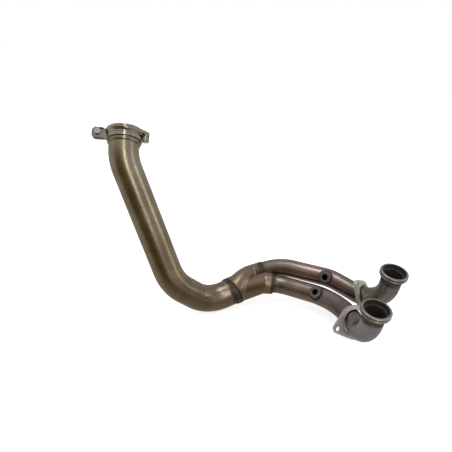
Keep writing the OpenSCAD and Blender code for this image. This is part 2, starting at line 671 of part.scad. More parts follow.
set_down() front_port_collar();
set_down() back_port_collar();
set_down() front_collar_weld();
set_down() back_collar_weld();
set_down() front_header_pipe();
set_down() back_header_pipe();
set_down() front_port_flange();
set_down() back_port_flange();
set_down() front_sensor_boss();
set_down() back_sensor_boss();
set_down() front_boss_weld();
set_down() back_boss_weld();
set_down() collector();
set_down() front_leg_weld();
set_down() back_leg_weld();
set_down() outlet_weld();
set_down() crotch_weld();
set_down() main_pipe();
set_down() outlet_collar();
set_down() outlet_collar_weld();
set_down() clamp_near_half();
set_down() clamp_far_half();
set_down() clamp_hinge_pin();
set_down() clamp_bolt();
set_down() clamp_washer();
set_down() clamp_nut();
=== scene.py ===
# %% [markdown]
# # A motorcycle exhaust header, dressed over its CAD frame
# The header takes burnt gas from two exhaust ports, joins it in a Y collector and leads it
# to a clamp. The CAD part gives every solid its true place. This script adds what a photograph
# would show: drawn tubes with temper colours, rippled welds, and dull stamped plate. Lengths are
# written in millimetres, as on a drawing, and MM turns them into Blender's metres.

import math

import bmesh
import bpy
import numpy as np
from mathutils import Matrix, Vector


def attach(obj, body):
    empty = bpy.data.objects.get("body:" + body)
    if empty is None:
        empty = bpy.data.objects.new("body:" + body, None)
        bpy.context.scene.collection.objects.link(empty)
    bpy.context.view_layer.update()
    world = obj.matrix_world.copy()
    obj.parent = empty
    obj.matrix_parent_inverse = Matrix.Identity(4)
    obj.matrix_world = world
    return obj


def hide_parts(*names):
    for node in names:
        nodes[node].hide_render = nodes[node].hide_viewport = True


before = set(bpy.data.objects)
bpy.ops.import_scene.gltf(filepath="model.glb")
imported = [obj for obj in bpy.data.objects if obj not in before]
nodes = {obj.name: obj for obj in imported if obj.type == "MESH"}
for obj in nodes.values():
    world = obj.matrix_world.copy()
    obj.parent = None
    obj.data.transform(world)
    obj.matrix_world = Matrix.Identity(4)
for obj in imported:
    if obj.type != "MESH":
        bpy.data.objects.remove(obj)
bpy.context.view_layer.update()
MM = 0.001

# %% [markdown]
# ## Bend data
# A pipe bender works from rows of four numbers: push the tube on, turn it, and bend it to a
# radius by an angle. A curve through a list of points could follow the pipe too. Keeping the
# bender's rows keeps each bend a true arc, and a changed angle moves all that comes after it.

# %% Bend data of the three pipes
# each row: push in mm, roll in degrees, bend radius in mm, bend angle in degrees
FRONT_RUNS = [(27.6, -126.3, 48.4, 81.4), (0.7, -97.6, 121.1, 52.7), (44.5, 15.3, 61.1, 37.0)]
BACK_RUNS = [(30.7, -170.3, 48.4, 90.6), (39.1, -123.3, 86.2, 16.9), (61.5, -4.9, 99.2, 33.9)]
MAIN_RUNS = [(28.5, 185.5, 62.2, 57.7), (26.5, 35.8, 78.3, 39.2), (185.9, 10.1, 75.2, 32.3)]
FRONT_TAIL, BACK_TAIL, MAIN_TAIL = 9.4, 16.0, 26.0
HEADER_R, MAIN_R, WALL = 17.0, 25.4, 1.5
for label, runs in (("front", FRONT_RUNS), ("back", BACK_RUNS), ("main", MAIN_RUNS)):
    print("the", label, "pipe bends by", round(sum(row[3] for row in runs), 1), "degrees in all")

# %% [markdown]
# ## Frames that walk along a pipe
# A frame is a 4 by 4 matrix that holds a place and three axes. Multiplying it by the next one
# walks along the pipe, with z always pointing the way the gas flows. Angles alone would tangle
# after the second bend, while matrices may be chained for as long as the pipe goes on.


# %% Shifts, turns, bends and straights
def move(x, y, z):
    """A shift, as a 4 by 4 matrix."""
    m = np.eye(4)
    m[:3, 3] = x, y, z
    return m


def turn(axis, degrees):
    """A right-handed turn about one axis of the frame."""
    return np.array(Matrix.Rotation(math.radians(degrees), 4, axis))


def bends(radius, degrees):
    """Frames round a bend: at angle a the pipe has moved r(1 - cos a) sideways and r sin a on."""
    a = np.radians(np.atleast_1d(degrees))
    m = np.tile(np.eye(4), (len(a), 1, 1))
    m[:, 0, 0], m[:, 0, 2], m[:, 2, 0], m[:, 2, 2] = np.cos(a), np.sin(a), -np.sin(a), np.cos(a)
    m[:, 0, 3], m[:, 2, 3] = radius * (1 - np.cos(a)), radius * np.sin(a)
    return m


def straights(lengths):
    """Frames along a straight: only the distance along z changes."""
    m = np.tile(np.eye(4), (len(lengths), 1, 1))
    m[:, 2, 3] = lengths
    return m


print("a quarter bend of 50 mm ends at", np.round(bends(50.0, 90.0)[0][:3, 3], 1))

# %% [markdown]
# ## A route out of bend data
# The route walks through the rows and keeps a frame about every millimetre. A roll turns the
# bender's frame at one spot, and a skin that followed it would be wrung there like a cloth. So
# each frame is handed out turned back by all the rolls so far, and the skin runs on smoothly.

# %% The route of a pipe
PITCH = 1.2


def route(start, runs, tail, skip=0.0):
    """All frames along a pipe about every PITCH mm, and the length run at each of them. Each roll
    turns the bender's frame, so the frames handed out are turned back by the sum of the rolls."""
    m, run, rolled, frames, along = start, 0.0, 0.0, [], []
    for push, roll, radius, angle in runs:
        s = np.linspace(skip, push, max(2, int((push - skip) / PITCH)), endpoint=False)
        frames.append(m @ straights(s) @ turn("Z", -rolled))
        along.append(run + s)
        m, run = m @ move(0, 0, push) @ turn("Z", roll), run + push
        skip, rolled, arc = 0.0, rolled + roll, radius * math.radians(angle)
        a = np.linspace(0, angle, max(4, int(arc / PITCH)), endpoint=False)
        frames.append(m @ bends(radius, a) @ turn("Z", -rolled))
        along.append(run + radius * np.radians(a))
        m, run = m @ bends(radius, angle)[0], run + arc
    s = np.linspace(0, tail, max(3, int(tail / PITCH)))
    frames.append(m @ straights(s) @ turn("Z", -rolled))
    along.append(run + s)
    return np.concatenate(frames), np.concatenate(along)


print("one bend and two straights make", len(route(np.eye(4), [(12, 0, 50, 90)], 12)[0]), "frames")

# %% [markdown]
# ## Where the pipes start
# The two ports stand side by side and look up, so both header pipes start from a frame that is
# turned over. The long pipe starts at the outlet of the collector, placed from the front port.
# One last matrix, REST, lays the whole header on the floor as the CAD has it. The print shows how
# well neighbouring frames agree, and 1 means that they point alike.

# %% The three routes
PORT_SPACING, MOUTH_SEAT = 105.4, 7.0
MAIN_START, MAIN_AZIMUTH, MAIN_INCLINE = (-248.43, 39.03, -127.14), -125.74, 107.08
REST_SHIFT, REST_ROLL, REST_PITCH = (219.68, -32.79, 89.579), 7.359, 14.388
REST = move(*REST_SHIFT) @ turn("Y", REST_PITCH) @ turn("X", REST_ROLL)
FRONT_START = REST @ turn("X", 180)
BACK_START = REST @ move(0, PORT_SPACING, 0) @ turn("X", 180)
MAIN_FRAME = REST @ move(*MAIN_START) @ turn("Z", MAIN_AZIMUTH) @ turn("Y", MAIN_INCLINE)
front_route, front_along = route(FRONT_START, FRONT_RUNS, FRONT_TAIL, skip=MOUTH_SEAT)
back_route, back_along = route(BACK_START, BACK_RUNS, BACK_TAIL, skip=MOUTH_SEAT)
main_route, main_along = route(MAIN_FRAME, MAIN_RUNS, MAIN_TAIL)
for frames, along in ((front_route, front_along), (back_route, back_along),
                      (main_route, main_along)):
    agreement = np.min(np.sum(frames[1:, :3, 0] * frames[:-1, :3, 0], axis=1))
    print("a pipe of", round(along[-1], 1), "mm, neighbours agree by", round(float(agreement), 4))

# %% [markdown]
# ## From grids to faces
# Each new surface is a grid of points with rows and columns. A grid that closes on itself, like
# the wall of a tube, joins its last column to its first. Faces could be added one by one, but
# numbering all of their corners in one array is quicker and leaves no face out.


# %% The faces of a grid
def quads(rows, columns, close_rows, close_columns):
    """Row i and column j of each face, and its corners: point i, j has the number i * columns + j,
    and a closed grid goes back to row or column 0."""
    i, j = np.meshgrid(np.arange(rows - (not close_rows)), np.arange(columns - (not close_columns)),
                       indexing="ij")
    i, j = i.ravel(), j.ravel()
    ni, nj = (i + 1) % rows, (j + 1) % columns
    corners = [i * columns + j, i * columns + nj, ni * columns + nj, ni * columns + j]
    return i, j, np.stack(corners, axis=1)


def quad_uvs(u, v, i, j, close_rows, close_columns):
    """The UVs of each face's corners: u by row and v by column. A closed grid gets one more step
    at its end, so that the last face isn't squeezed back to 0."""
    u = np.append(u, u[-1] + (u[-1] - u[-2])) if close_rows else u
    v = np.append(v, v[-1] + (v[-1] - v[-2])) if close_columns else v
    across = np.stack([u[i], u[i], u[i + 1], u[i + 1]], 1)
    return np.stack([across, np.stack([v[j], v[j + 1], v[j + 1], v[j]], 1)], 2)


print("a tube of 4 rows and 6 columns has", len(quads(4, 6, False, True)[2]), "faces")

# %% [markdown]
# ## A skin
# The skin puts such a grid into a mesh. Its UV map runs in metres, so that a pattern has the same
# scale on every piece, and float attributes carry what the finish depends on. The header has no
# moving part, so every skin rides on the one body, "root".


# %% A grid becomes a mesh
def store(mesh, key, values):
    """Writes one float per point as an attribute."""
    layer = mesh.attributes.new(key, "FLOAT", "POINT")
    layer.data.foreach_set("value", np.asarray(values, dtype=np.float32).ravel())


def skin(name, grid, u, v, close_rows=False, close_columns=True, **values):
    """A grid of points in mm becomes a smooth mesh in metres, with UVs (u by row, v by column)
    and one float attribute per keyword."""
    rows, columns = grid.shape[:2]
    i, j, corners = quads(rows, columns, close_rows, close_columns)
    mesh = bpy.data.meshes.new(name)
    mesh.vertices.add(rows * columns)
    mesh.vertices.foreach_set("co", (grid.reshape(-1, 3) * MM).astype(np.float32).ravel())
    mesh.loops.add(corners.size)
    mesh.loops.foreach_set("vertex_index", corners.astype(np.int32).ravel())
    mesh.polygons.add(len(corners))
    mesh.polygons.foreach_set("loop_start", np.arange(0, corners.size, 4, dtype=np.int32))
    mesh.polygons.foreach_set("use_smooth", np.ones(len(corners), dtype=bool))
    mesh.update(calc_edges=True)
    uv = quad_uvs(u, v, i, j, close_rows, close_columns)
    mesh.uv_layers.new(name="Metres").data.foreach_set("uv", uv.astype(np.float32).ravel())
    for key, value in values.items():
        store(mesh, key, np.broadcast_to(value, (rows, columns)))
    mesh.validate()
    piece = bpy.data.objects.new(name, mesh)
    bpy.context.scene.collection.objects.link(piece)
    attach(piece, "root")
    return piece


print("a skin carries UVs in metres and attributes for its finish")

# %% [markdown]
# ## Circles round a route
# Most of the header is round, so one helper lays a circle of points round each frame. Trigonometry
# on whole arrays gives all the circles at once, and the same angles later place the welds.

# %% Rings
AROUND = 72


def rings(frames, radii):
    """A circle of AROUND points round each frame: centre + r (cos t) x + r (sin t) y."""
    t = np.linspace(0, 2 * np.pi, AROUND, endpoint=False)
    radii = np.broadcast_to(radii, (len(frames),))
    out = np.cos(t)[None, :, None] * frames[:, None, :3, 0]
    out = out + np.sin(t)[None, :, None] * frames[:, None, :3, 1]
    return frames[:, None, :3, 3] + radii[:, None, None] * out, t


print("points round the front pipe:", rings(front_route, HEADER_R)[0].shape)

# %% [markdown]
# ## Scorch beside a weld
# Heat colours a pipe along its length and scorches it beside each weld. Painting that by hand
# would have to be done again after every change of a bend. The distance along the pipe is known
# for each row of points, so a bell-shaped curve over that distance gives the scorch.


# %% How near a weld is
def scorch_near(along, places, reach):
    """1 at a weld, falling as a smooth bell, exp(-(gap / reach)^2), away from it."""
    gap = np.min(np.abs(along[:, None] - np.array(places)[None, :]), axis=1)
    return np.exp(-((gap / reach) ** 2))


print("scorch at 0, 3.5 and 7 mm:", scorch_near(np.array([0, 3.5, 7]), [0.0], 7.0).round(2))

# %% [markdown]
# ## A bent pipe
# A drawn tube has an outside, an inside and two cut ends, and from the ports the inside shows.
# Solidify could thicken a single skin, but here the rows of the grid simply run out along the
# outside, round the cut edge and back along the inside, which keeps the wall even in the bends.
# The attribute "inside" is 1 on the inner wall, where soot will lie, and a little on the cut edge.

# %% A pipe from its route
EDGE_SOOT = 0.4


def pipe(name, node, frames, along, radius, welds, reach):
    """A hollow pipe: outside rows, a rounded cut end, inside rows back, and the other cut end.
    The cut ends are half circles of half the wall, with a point at 30, 90 and 150 degrees."""
    lip, cut = WALL / 2, np.radians([30, 90, 150])
    end_r, end_z = radius - lip + lip * np.cos(cut), lip * 0.5 * np.sin(cut)
    far = np.concatenate([frames[-1:] @ move(0, 0, z - lip * 0.5) for z in end_z])
    near = np.concatenate([frames[:1] @ move(0, 0, lip * 0.5 - z) for z in end_z[::-1]])
    path = np.concatenate([frames, far, frames[::-1], near])
    outer, inner = np.full(len(frames), radius), np.full(len(frames), radius - WALL)
    radii = np.concatenate([outer, end_r, inner, end_r[::-1]])
    run = np.concatenate([along, np.full(3, along[-1]), along[::-1], np.full(3, along[0])])
    edge = np.full(3, EDGE_SOOT)
    inside = np.concatenate([np.zeros(len(frames)), edge, np.ones(len(frames)), edge])
    grid, t = rings(path, radii)
    scorch = scorch_near(run, welds, reach)
    piece = skin(name, grid, run * MM, t * radius * MM, close_rows=True,
                 along=(run / run.max())[:, None], scorch=scorch[:, None],
                 inside=inside[:, None])
    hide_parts(node)
    print(name, "has", len(piece.data.polygons), "faces")
    return piece


print("the wall of a pipe is", WALL, "mm thick")

# %% [markdown]
# ## The three pipes
# The header pipes are scorched where the port collar's neck ends and where the collector's legs
# begin, and the long pipe where it leaves the outlet socket. Each lip is a distance along its
# own pipe, and the scorch reaches a few millimetres from it. The print counts the faces.

# %% The three pipes
NECK_END = 15.5
HEADER_SCORCH, MAIN_SCORCH = 7.0, 6.0
FRONT_LIP, BACK_LIP, MAIN_LIP = front_along[-1] - 18.0, back_along[-1] - 14.5, 12.0
front_pipe = pipe("front_pipe_skin", "front_header_pipe", front_route, front_along, HEADER_R,
                  [FRONT_LIP, NECK_END], HEADER_SCORCH)
back_pipe = pipe("back_pipe_skin", "back_header_pipe", back_route, back_along, HEADER_R,
                 [BACK_LIP, NECK_END], HEADER_SCORCH)
main_pipe = pipe("main_pipe_skin", "main_pipe", main_route, main_along, MAIN_R,
                 [MAIN_LIP], MAIN_SCORCH)

# %% [markdown]
# ## The collector's sizes
# Two sheet-metal legs run over the header pipes and melt into one socket. The back leg is the
# chamber, which widens to the outlet. The front leg stays a narrow tube and joins it low down, so
# its last circle is shifted down inside the outlet's plane until it touches the socket's bottom.

# %% Sizes and end frames of the legs
# mm: the sheet, how much wider the front leg is, and how far the back leg swells upwards; of that
# swell the last value is the share that goes outwards as well
SHEET, LEG_SWELL, BACK_SWELL, SWELL_OUT = 2.0, 1.4, 2.4, 0.6
LEG_R, SOCKET_R, SOCKET_LENGTH = HEADER_R + SHEET, MAIN_R + SHEET, 14.0
FRONT_LEG_R = LEG_R + LEG_SWELL
OUTLET_SLANT, OUTLET_TURN = 22.0, -72.8
FRONT_COVER, BACK_COVER = 16.8, 13.0
front_end, back_end = front_route[-1], back_route[-1]
UPWARDS = np.array([0, 0, 1.0]) - MAIN_FRAME[2, 2] * MAIN_FRAME[:3, 2]
UPWARDS /= np.linalg.norm(UPWARDS)


def like(frame_there, frame_here):
    """The frame there, turned about its own z so that its x axis follows the x axis here."""
    z = frame_there[:3, 2]
    x = frame_here[:3, 0] - (z @ frame_here[:3, 0]) * z
    x /= np.linalg.norm(x)
    m = frame_there.copy()
    m[:3, 0], m[:3, 1] = x, np.cross(z, x)
    return m


low_finish = like(MAIN_FRAME, front_end)
low_finish[:3, 3] -= (SOCKET_R - FRONT_LEG_R) * UPWARDS
print("leg ends in mm:", np.round(front_end[:3, 3], 1), np.round(back_end[:3, 3], 1))

# %% [markdown]
# ## One leg of the collector
# A leg is a loft, which means that straight lines join one circle to another. The outlet's rim is
# cut at a slant, and a slanted cut through a round tube is a cosine when it is unrolled. Drawing
# the rim that way needs no cutting tool.

# %% A leg and its slanted rim
# mm: how far the sheet stops short of the rim, and how far the front leg runs on inside the back
RIM_GAP, SUNK_END = 0.3, 5.0


def slant(frame_here, t):
    """Length of the outlet socket round the pipe: mean + r tan(slant) cos(t - turn), where t is
    measured from the x axis of the frame here and the turn from the main pipe's own x axis."""
    own = MAIN_FRAME[:3, 0]
    offset = math.atan2(own @ frame_here[:3, 1], own @ frame_here[:3, 0])
    rise = SOCKET_R * math.tan(math.radians(OUTLET_SLANT))
    return SOCKET_LENGTH + rise * np.cos(t - offset - math.radians(OUTLET_TURN))


def leg(name, frames, along, cover, radius, finish, wide, swell=0.0, outlet=False):
    """One leg: a socket over the pipe, then straight lines from its last circle to the circle of
    radius wide at finish. On the way the lines may swell upwards by swell sin(pi share). With an
    outlet it goes on as the socket with its slanted end. Poles close it for the remesh."""
    over = frames[along >= along[-1] - cover]
    start, t = rings(over, radius)
    last, mouth = rings(over[-1:], radius)[0], rings(finish[None], wide)[0]
    share = np.linspace(0, 1, 30)[1:-1, None, None]
    loft = (1 - share) * last + share * mouth
    outward = loft - loft.mean(axis=1, keepdims=True)
    outward /= np.linalg.norm(outward, axis=2, keepdims=True)
    loft = loft + swell * np.sin(np.pi * share) * (UPWARDS + SWELL_OUT * outward)
    reach = slant(finish, t) - RIM_GAP if outlet else np.full(AROUND, SUNK_END)
    socket = mouth + (np.linspace(0, 1, 10)[1:, None] * reach)[..., None] * finish[:3, 2]
    first_pole = np.broadcast_to(over[0][:3, 3], (1, AROUND, 3))
    last_pole = np.broadcast_to(socket[-1].mean(0), (1, AROUND, 3))
    grid = np.concatenate([first_pole, start, loft, mouth, socket, last_pole])
    return skin(name, grid, np.arange(len(grid)) * MM, t * LEG_R * MM)


front_leg = leg("front_leg", front_route, front_along, FRONT_COVER, FRONT_LEG_R,
                low_finish, FRONT_LEG_R)
back_leg = leg("back_leg", back_route, back_along, BACK_COVER, LEG_R,
               like(MAIN_FRAME, back_end), SOCKET_R, swell=BACK_SWELL, outlet=True)
print("faces of the legs:", len(front_leg.data.polygons), len(back_leg.data.polygons))

# %% [markdown]
# ## Two legs become one sheet
# A boolean would keep the fork knife-sharp. Pressed sheet is round there, so the legs are united
# by a voxel remesh, which rebuilds one closed skin round both, and the Smooth modifier then rounds
# the fork and takes away the small steps that voxels leave.


# %% Uniting and smoothing
def apply_modifiers(piece):
    """Bakes the modifiers into the mesh, so that the piece is plain geometry afterwards."""
    depsgraph = bpy.context.evaluated_depsgraph_get()
    mesh = bpy.data.meshes.new_from_object(piece.evaluated_get(depsgraph))
    old = piece.data
    piece.modifiers.clear()
    piece.data = mesh
    bpy.data.meshes.remove(old)


def unite(name, pieces, voxel, smooth):
    """Joins the pieces into one mesh, unites them by voxels, and smooths what the voxels left."""
    points, faces, count = [], [], 0
    for p in pieces:
        co = np.empty(len(p.data.vertices) * 3, dtype=np.float32)
        p.data.vertices.foreach_get("co", co)
        index = np.empty(len(p.data.loops), dtype=np.int32)
        p.data.loops.foreach_get("vertex_index", index)
        points.append(co.reshape(-1, 3))
        faces.append(index.reshape(-1, 4) + count)
        count += len(points[-1])
        bpy.data.objects.remove(p)
    mesh = bpy.data.meshes.new(name)
    mesh.from_pydata(np.concatenate(points), [], np.concatenate(faces))
    piece = bpy.data.objects.new(name, mesh)
    bpy.context.scene.collection.objects.link(piece)
    remesh = piece.modifiers.new("Unite", "REMESH")
    remesh.mode, remesh.voxel_size, remesh.use_smooth_shade = "VOXEL", voxel * MM, True
    soften = piece.modifiers.new("Soften", "SMOOTH")
    soften.factor, soften.iterations = 0.5, smooth
    apply_modifiers(piece)
    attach(piece, "root")
    return piece


collector = unite("collector_skin", [front_leg, back_leg], voxel=0.9, smooth=12)
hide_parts("collector")
print("collector faces:", len(collector.data.polygons))

# %% [markdown]
# ## Scorch on the collector
# The sheet is darkest beside its three weld lines. The distance of each point from the plane of
# a mouth gives that in one line of array maths, with no painting by hand.

# %% Distance to the three mouths
front_mouth = front_route[np.argmin(np.abs(front_along - (front_along[-1] - FRONT_COVER)))]
back_mouth = back_route[np.argmin(np.abs(back_along - (back_along[-1] - BACK_COVER)))]
socket_mouth = MAIN_FRAME @ move(0, 0, SOCKET_LENGTH) @ turn("Z", OUTLET_TURN) \
    @ turn("Y", -OUTLET_SLANT)
sheet_co = np.empty(len(collector.data.vertices) * 3, dtype=np.float32)
collector.data.vertices.foreach_get("co", sheet_co)
sheet_points = sheet_co.reshape(-1, 3) / MM


def mouth_scorch(points, mouth, radius, reach):
    """Bell of the height above the mouth's plane, for points within a radius of its axis."""
    rel = points - mouth[:3, 3]
    height = rel @ mouth[:3, 2]
    side = np.linalg.norm(rel - height[:, None] * mouth[:3, 2], axis=1)
    return np.exp(-((height / reach) ** 2)) * (side < radius)


sheet_scorch = np.maximum.reduce([
    mouth_scorch(sheet_points, front_mouth, radius=24, reach=4.5),
    mouth_scorch(sheet_points, back_mouth, radius=24, reach=5.0),
    mouth_scorch(sheet_points, socket_mouth, radius=32, reach=4.5)])
store(collector.data, "scorch", sheet_scorch)
store(collector.data, "along", np.full(len(sheet_points), 0.5))
store(collector.data, "inside", np.zeros(len(sheet_points)))
print("share of the sheet that is scorched:", round(float(np.mean(sheet_scorch > 0.3)), 2))

# %% [markdown]
# ## The section of a weld bead
# A hand-laid bead is a row of overlapping drops. A bump map could fake them, but the beads show
# against white at the pipe's edge, so they need real height. It swells and sinks as the drops do:
# a rounded saw tooth, with a little noise from a few sines so that no two drops are alike.


# %% Drops along a bead
def bead_profile(height, drops, t, seed):
    """Nine points across, from -1 to 1, their rise (1 - x^2)^0.6, and the height of the drops in
    mm at each angle t: |cos(t drops / 2)| lifted and shaken by slower sines."""
    x = np.linspace(-1, 1, 9)
    ripple = 0.72 + 0.28 * np.abs(np.cos(t * drops / 2 + 0.35 * np.sin(3 * t + seed)))
    ripple *= 1 + 0.13 * np.sin(5 * t + seed) + 0.09 * np.sin(11 * t + 2 * seed)
    return x, (1 - x**2) ** 0.6, height * ripple


def bead_skin(name, node, grid, u, v, scorch=0.8, **closing):
    """A bead's skin: its finish depends on no place along a pipe, so the attributes are plain."""
    piece = skin(name, grid, u, v, scorch=scorch, along=0.5, inside=0.0, **closing)
    if node:
        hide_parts(node)
    return piece


some_drops = bead_profile(1.0, 40, np.linspace(0, 2 * np.pi, 180), 1.0)[2]
print("drops rise from", round(float(some_drops.min()), 2), "to", round(float(some_drops.max()), 2))

# %% [markdown]
# ## Beads round the joints
# The section is carried round the pipe at each joint. The outlet's joint is slanted, and there the
# bead moves along the pipe by the same cosine that cut the collector's rim.

# %% Ring beads
# mm: the widths of the beads, how deep they are sunk, and how far they lie off the joint
LEG_BEAD, COLLAR_BEAD, BEAD_SINK, BEAD_OFFSET = 3.4, 2.6, 0.25, 0.6


def ring_bead(name, node, frame_at, radius, width, height, drops, seed, lean=0.0, lean_at=0.0):
    """A bead round a pipe: the section's x runs along the pipe and its height away from the axis.
    A leaning joint moves along the pipe by r tan(lean) cos(t - lean_at)."""
    t = np.linspace(0, 2 * np.pi, 180, endpoint=False)
    x, rise, swell = bead_profile(height, drops, t, seed)
    out = np.cos(t)[:, None] * frame_at[:3, 0] + np.sin(t)[:, None] * frame_at[:3, 1]
    wander = 0.25 * np.sin(2 * t + seed) + 0.15 * np.sin(7 * t + seed)
    wander = wander + radius * math.tan(math.radians(lean)) * np.cos(t - math.radians(lean_at))
    r = radius - BEAD_SINK + swell[:, None] * rise[None, :]
    along = x[None, :] * width / 2 + wander[:, None]
    grid = frame_at[:3, 3] + r[..., None] * out[:, None, :] + along[..., None] * frame_at[:3, 2]
    return bead_skin(name, node, grid, t * radius * MM, np.linspace(0, width, 9) * MM,
                     close_rows=True, close_columns=False)


# after the width come the height of the drops in mm, their number, and a seed that shakes them
beads = [
    ring_bead("front_leg_bead", "front_leg_weld", front_mouth @ move(0, 0, -BEAD_OFFSET), HEADER_R,
              LEG_BEAD, 2.6, 40, 1.0),
    ring_bead("back_leg_bead", "back_leg_weld", back_mouth @ move(0, 0, -BEAD_OFFSET), HEADER_R,
              LEG_BEAD, 2.0, 40, 2.0),
    ring_bead("outlet_bead", "outlet_weld", MAIN_FRAME @ move(0, 0, SOCKET_LENGTH + BEAD_OFFSET),
              MAIN_R, LEG_BEAD, 2.0, 58, 3.0, OUTLET_SLANT, OUTLET_TURN),
    ring_bead("front_collar_bead", "front_collar_weld", FRONT_START @ move(0, 0, NECK_END - 0.2),
              HEADER_R, COLLAR_BEAD, 1.5, 44, 4.0),
    ring_bead("back_collar_bead", "back_collar_weld", BACK_START @ move(0, 0, NECK_END - 0.2),
              HEADER_R, COLLAR_BEAD, 1.5, 44, 5.0),
]
print("beads round the joints:", [b.name for b in beads])

# %% [markdown]
# ## The fork's seam
# The two legs meet along a curved line, and a bead runs down it on both faces. Its path needs no
# boolean: at each share of the way the legs are two circles, and two circles cross where school
# geometry says.

# %% Where the legs cross
SEAM_SHARES = np.linspace(0.03, 0.40, 110)[:, None]


def crossing(share, side):
    """The crossing of two circles with centres D apart lies a = (D^2 + rb^2 - rf^2) / 2D from the
    back centre and sqrt(rb^2 - a^2) aside. Hands back the path and the way out of the sheet."""
    rise = BACK_SWELL * np.sin(np.pi * share)
    front_middle = (1 - share) * front_end[:3, 3] + share * low_finish[:3, 3]
    back_middle = (1 - share) * back_end[:3, 3] + share * MAIN_FRAME[:3, 3] + rise * UPWARDS
    back_r = (1 - share) * LEG_R + share * SOCKET_R + SWELL_OUT * rise
    gap = np.linalg.norm(front_middle - back_middle, axis=1, keepdims=True)
    across = (front_middle - back_middle) / gap
    onward = np.gradient(front_middle + back_middle, axis=0)
    aside = np.cross(onward / np.linalg.norm(onward, axis=1, keepdims=True), across)
    aside *= side * np.sign(aside[:, 2:3])
    a = (gap**2 + back_r**2 - FRONT_LEG_R**2) / (2 * gap)
    return back_middle + a * across + np.sqrt(np.maximum(back_r**2 - a**2, 0.0)) * aside, aside


seam_path = crossing(SEAM_SHARES, 1.0)[0]
seam_length = np.linalg.norm(np.diff(seam_path, axis=0), axis=1).sum()
print("the seam is", round(float(seam_length), 1), "mm long on each face")

# %% [markdown]
# ## Beads down the fork
# A bead here is a thin rippled tube, sunk by half into the sheet. It is tapered at both ends, so
# that it fades into the valley of the fork and has no open end.

# %% Seam beads
# mm: the bead's radius, the length of one drop, and the length over which an end fades
SEAM_R, DROP, FADE = 1.3, 2.6, 4


def seam_bead(name, node, side, seed):
    """A tube round the path: path + r (cos t) out + 1.2 r (sin t) (tangent x out), where r ripples
    with a drop every DROP mm and falls to 0 at both ends as a square root, over FADE mm."""
    path, aside = crossing(SEAM_SHARES, side)
    tangent = np.gradient(path, axis=0)
    run = np.cumsum(np.linalg.norm(tangent, axis=1))
    tangent /= np.linalg.norm(tangent, axis=1, keepdims=True)
    t = np.linspace(0, 2 * np.pi, 16, endpoint=False)
    ripple = 0.78 + 0.22 * np.abs(np.cos(np.pi * run / DROP + 0.3 * np.sin(run / 4 + seed)))
    taper = np.sqrt(np.clip(np.minimum(run - run[0], run[-1] - run) / FADE, 0, 1))
    sideways = np.cross(tangent, aside)
    around = np.cos(t)[None, :, None] * aside[:, None]
    around = around + 1.2 * np.sin(t)[None, :, None] * sideways[:, None]
    grid = path[:, None] + (SEAM_R * ripple * taper)[:, None, None] * around
    return bead_skin(name, node, grid, run * MM, t * 2 * MM, scorch=0.55)


beads += [seam_bead("upper_seam_bead", "crotch_weld", 1.0, 8.0),
          seam_bead("lower_seam_bead", None, -1.0, 9.0)]
print("faces of a seam bead:", len(beads[-1].data.polygons))

# %% [markdown]
# ## Where the sensor bosses stand
# A boss is a short tapped ring, welded on so that an oxygen sensor can be screwed into the pipe.
# Each is placed by the bend data too, and then turned about the pipe until its z axis points out
# of the wall. The front boss stands in the second bend of its pipe, and the back boss just before
# the end of the second bend of its own.

# %% Boss frames
BOSS_R = 10.5
# mm of arc into the bend, or mm on from its end, and then degrees about the pipe
FRONT_BOSS_ARC, FRONT_BOSS_TURN = 94.9, 47.6
BACK_BOSS_ON, BACK_BOSS_TURN = -6.3, 67.5


def after_rows(start, rows):
    """The bender's frame after whole rows of push, roll and bend."""
    m = start
    for push, roll, radius, angle in rows:
        m = m @ move(0, 0, push) @ turn("Z", roll) @ bends(radius, angle)[0]
    return m


push, roll, radius, _ = FRONT_RUNS[1]
front_sweep = after_rows(FRONT_START, FRONT_RUNS[:1]) @ move(0, 0, push) @ turn("Z", roll)
front_boss = front_sweep @ bends(radius, math.degrees(FRONT_BOSS_ARC / radius))[0] \
    @ turn("Z", FRONT_BOSS_TURN) @ turn("Y", 90)
back_boss = after_rows(BACK_START, BACK_RUNS[:2]) @ move(0, 0, BACK_BOSS_ON) \
    @ turn("Z", BACK_BOSS_TURN) @ turn("Y", 90)
print("bosses in mm:", np.round(front_boss[:3, 3], 1), np.round(back_boss[:3, 3], 1))

# %% [markdown]
# ## Holes under the bosses
# The pipe is open under a boss, so that the sensor reaches the gas. Leaving out the faces there is
# simpler than a boolean, and the boss hides the ragged edge.

# %% Opening the pipes
# mm: the hole's radius, and how high above the pipe's axis the boss's side begins
HOLE_CLEAR, BOSS_SIDE = 7.4, 5


def open_under(piece, boss):
    """Leaves out the faces whose middle lies within HOLE_CLEAR of the boss's axis, on its side."""
    faces = piece.data.polygons
    middle = np.empty(len(faces) * 3, dtype=np.float32)
    faces.foreach_get("center", middle)
    rel = middle.reshape(-1, 3) / MM - boss[:3, 3]
    height = rel @ boss[:3, 2]
    side = np.linalg.norm(rel - height[:, None] * boss[:3, 2], axis=1)
    drop = np.flatnonzero((side < HOLE_CLEAR) & (height > BOSS_SIDE))
    mesh = bmesh.new()
    mesh.from_mesh(piece.data)
    mesh.faces.ensure_lookup_table()
    bmesh.ops.delete(mesh, geom=[mesh.faces[k] for k in drop], context="FACES")
    mesh.to_mesh(piece.data)
    mesh.free()
    print(piece.name, "opened by", len(drop), "faces")


open_under(front_pipe, front_boss)
open_under(back_pipe, back_boss)

# %% [markdown]
# ## Saddle welds
# A boss stands on a round pipe, so its weld is a saddle: the circle round the boss dips where the
# pipe falls away on both sides. A ring could be shrunk onto the pipe with a modifier. The height
# of a round wall is known exactly, though, and gives the dip in one line.

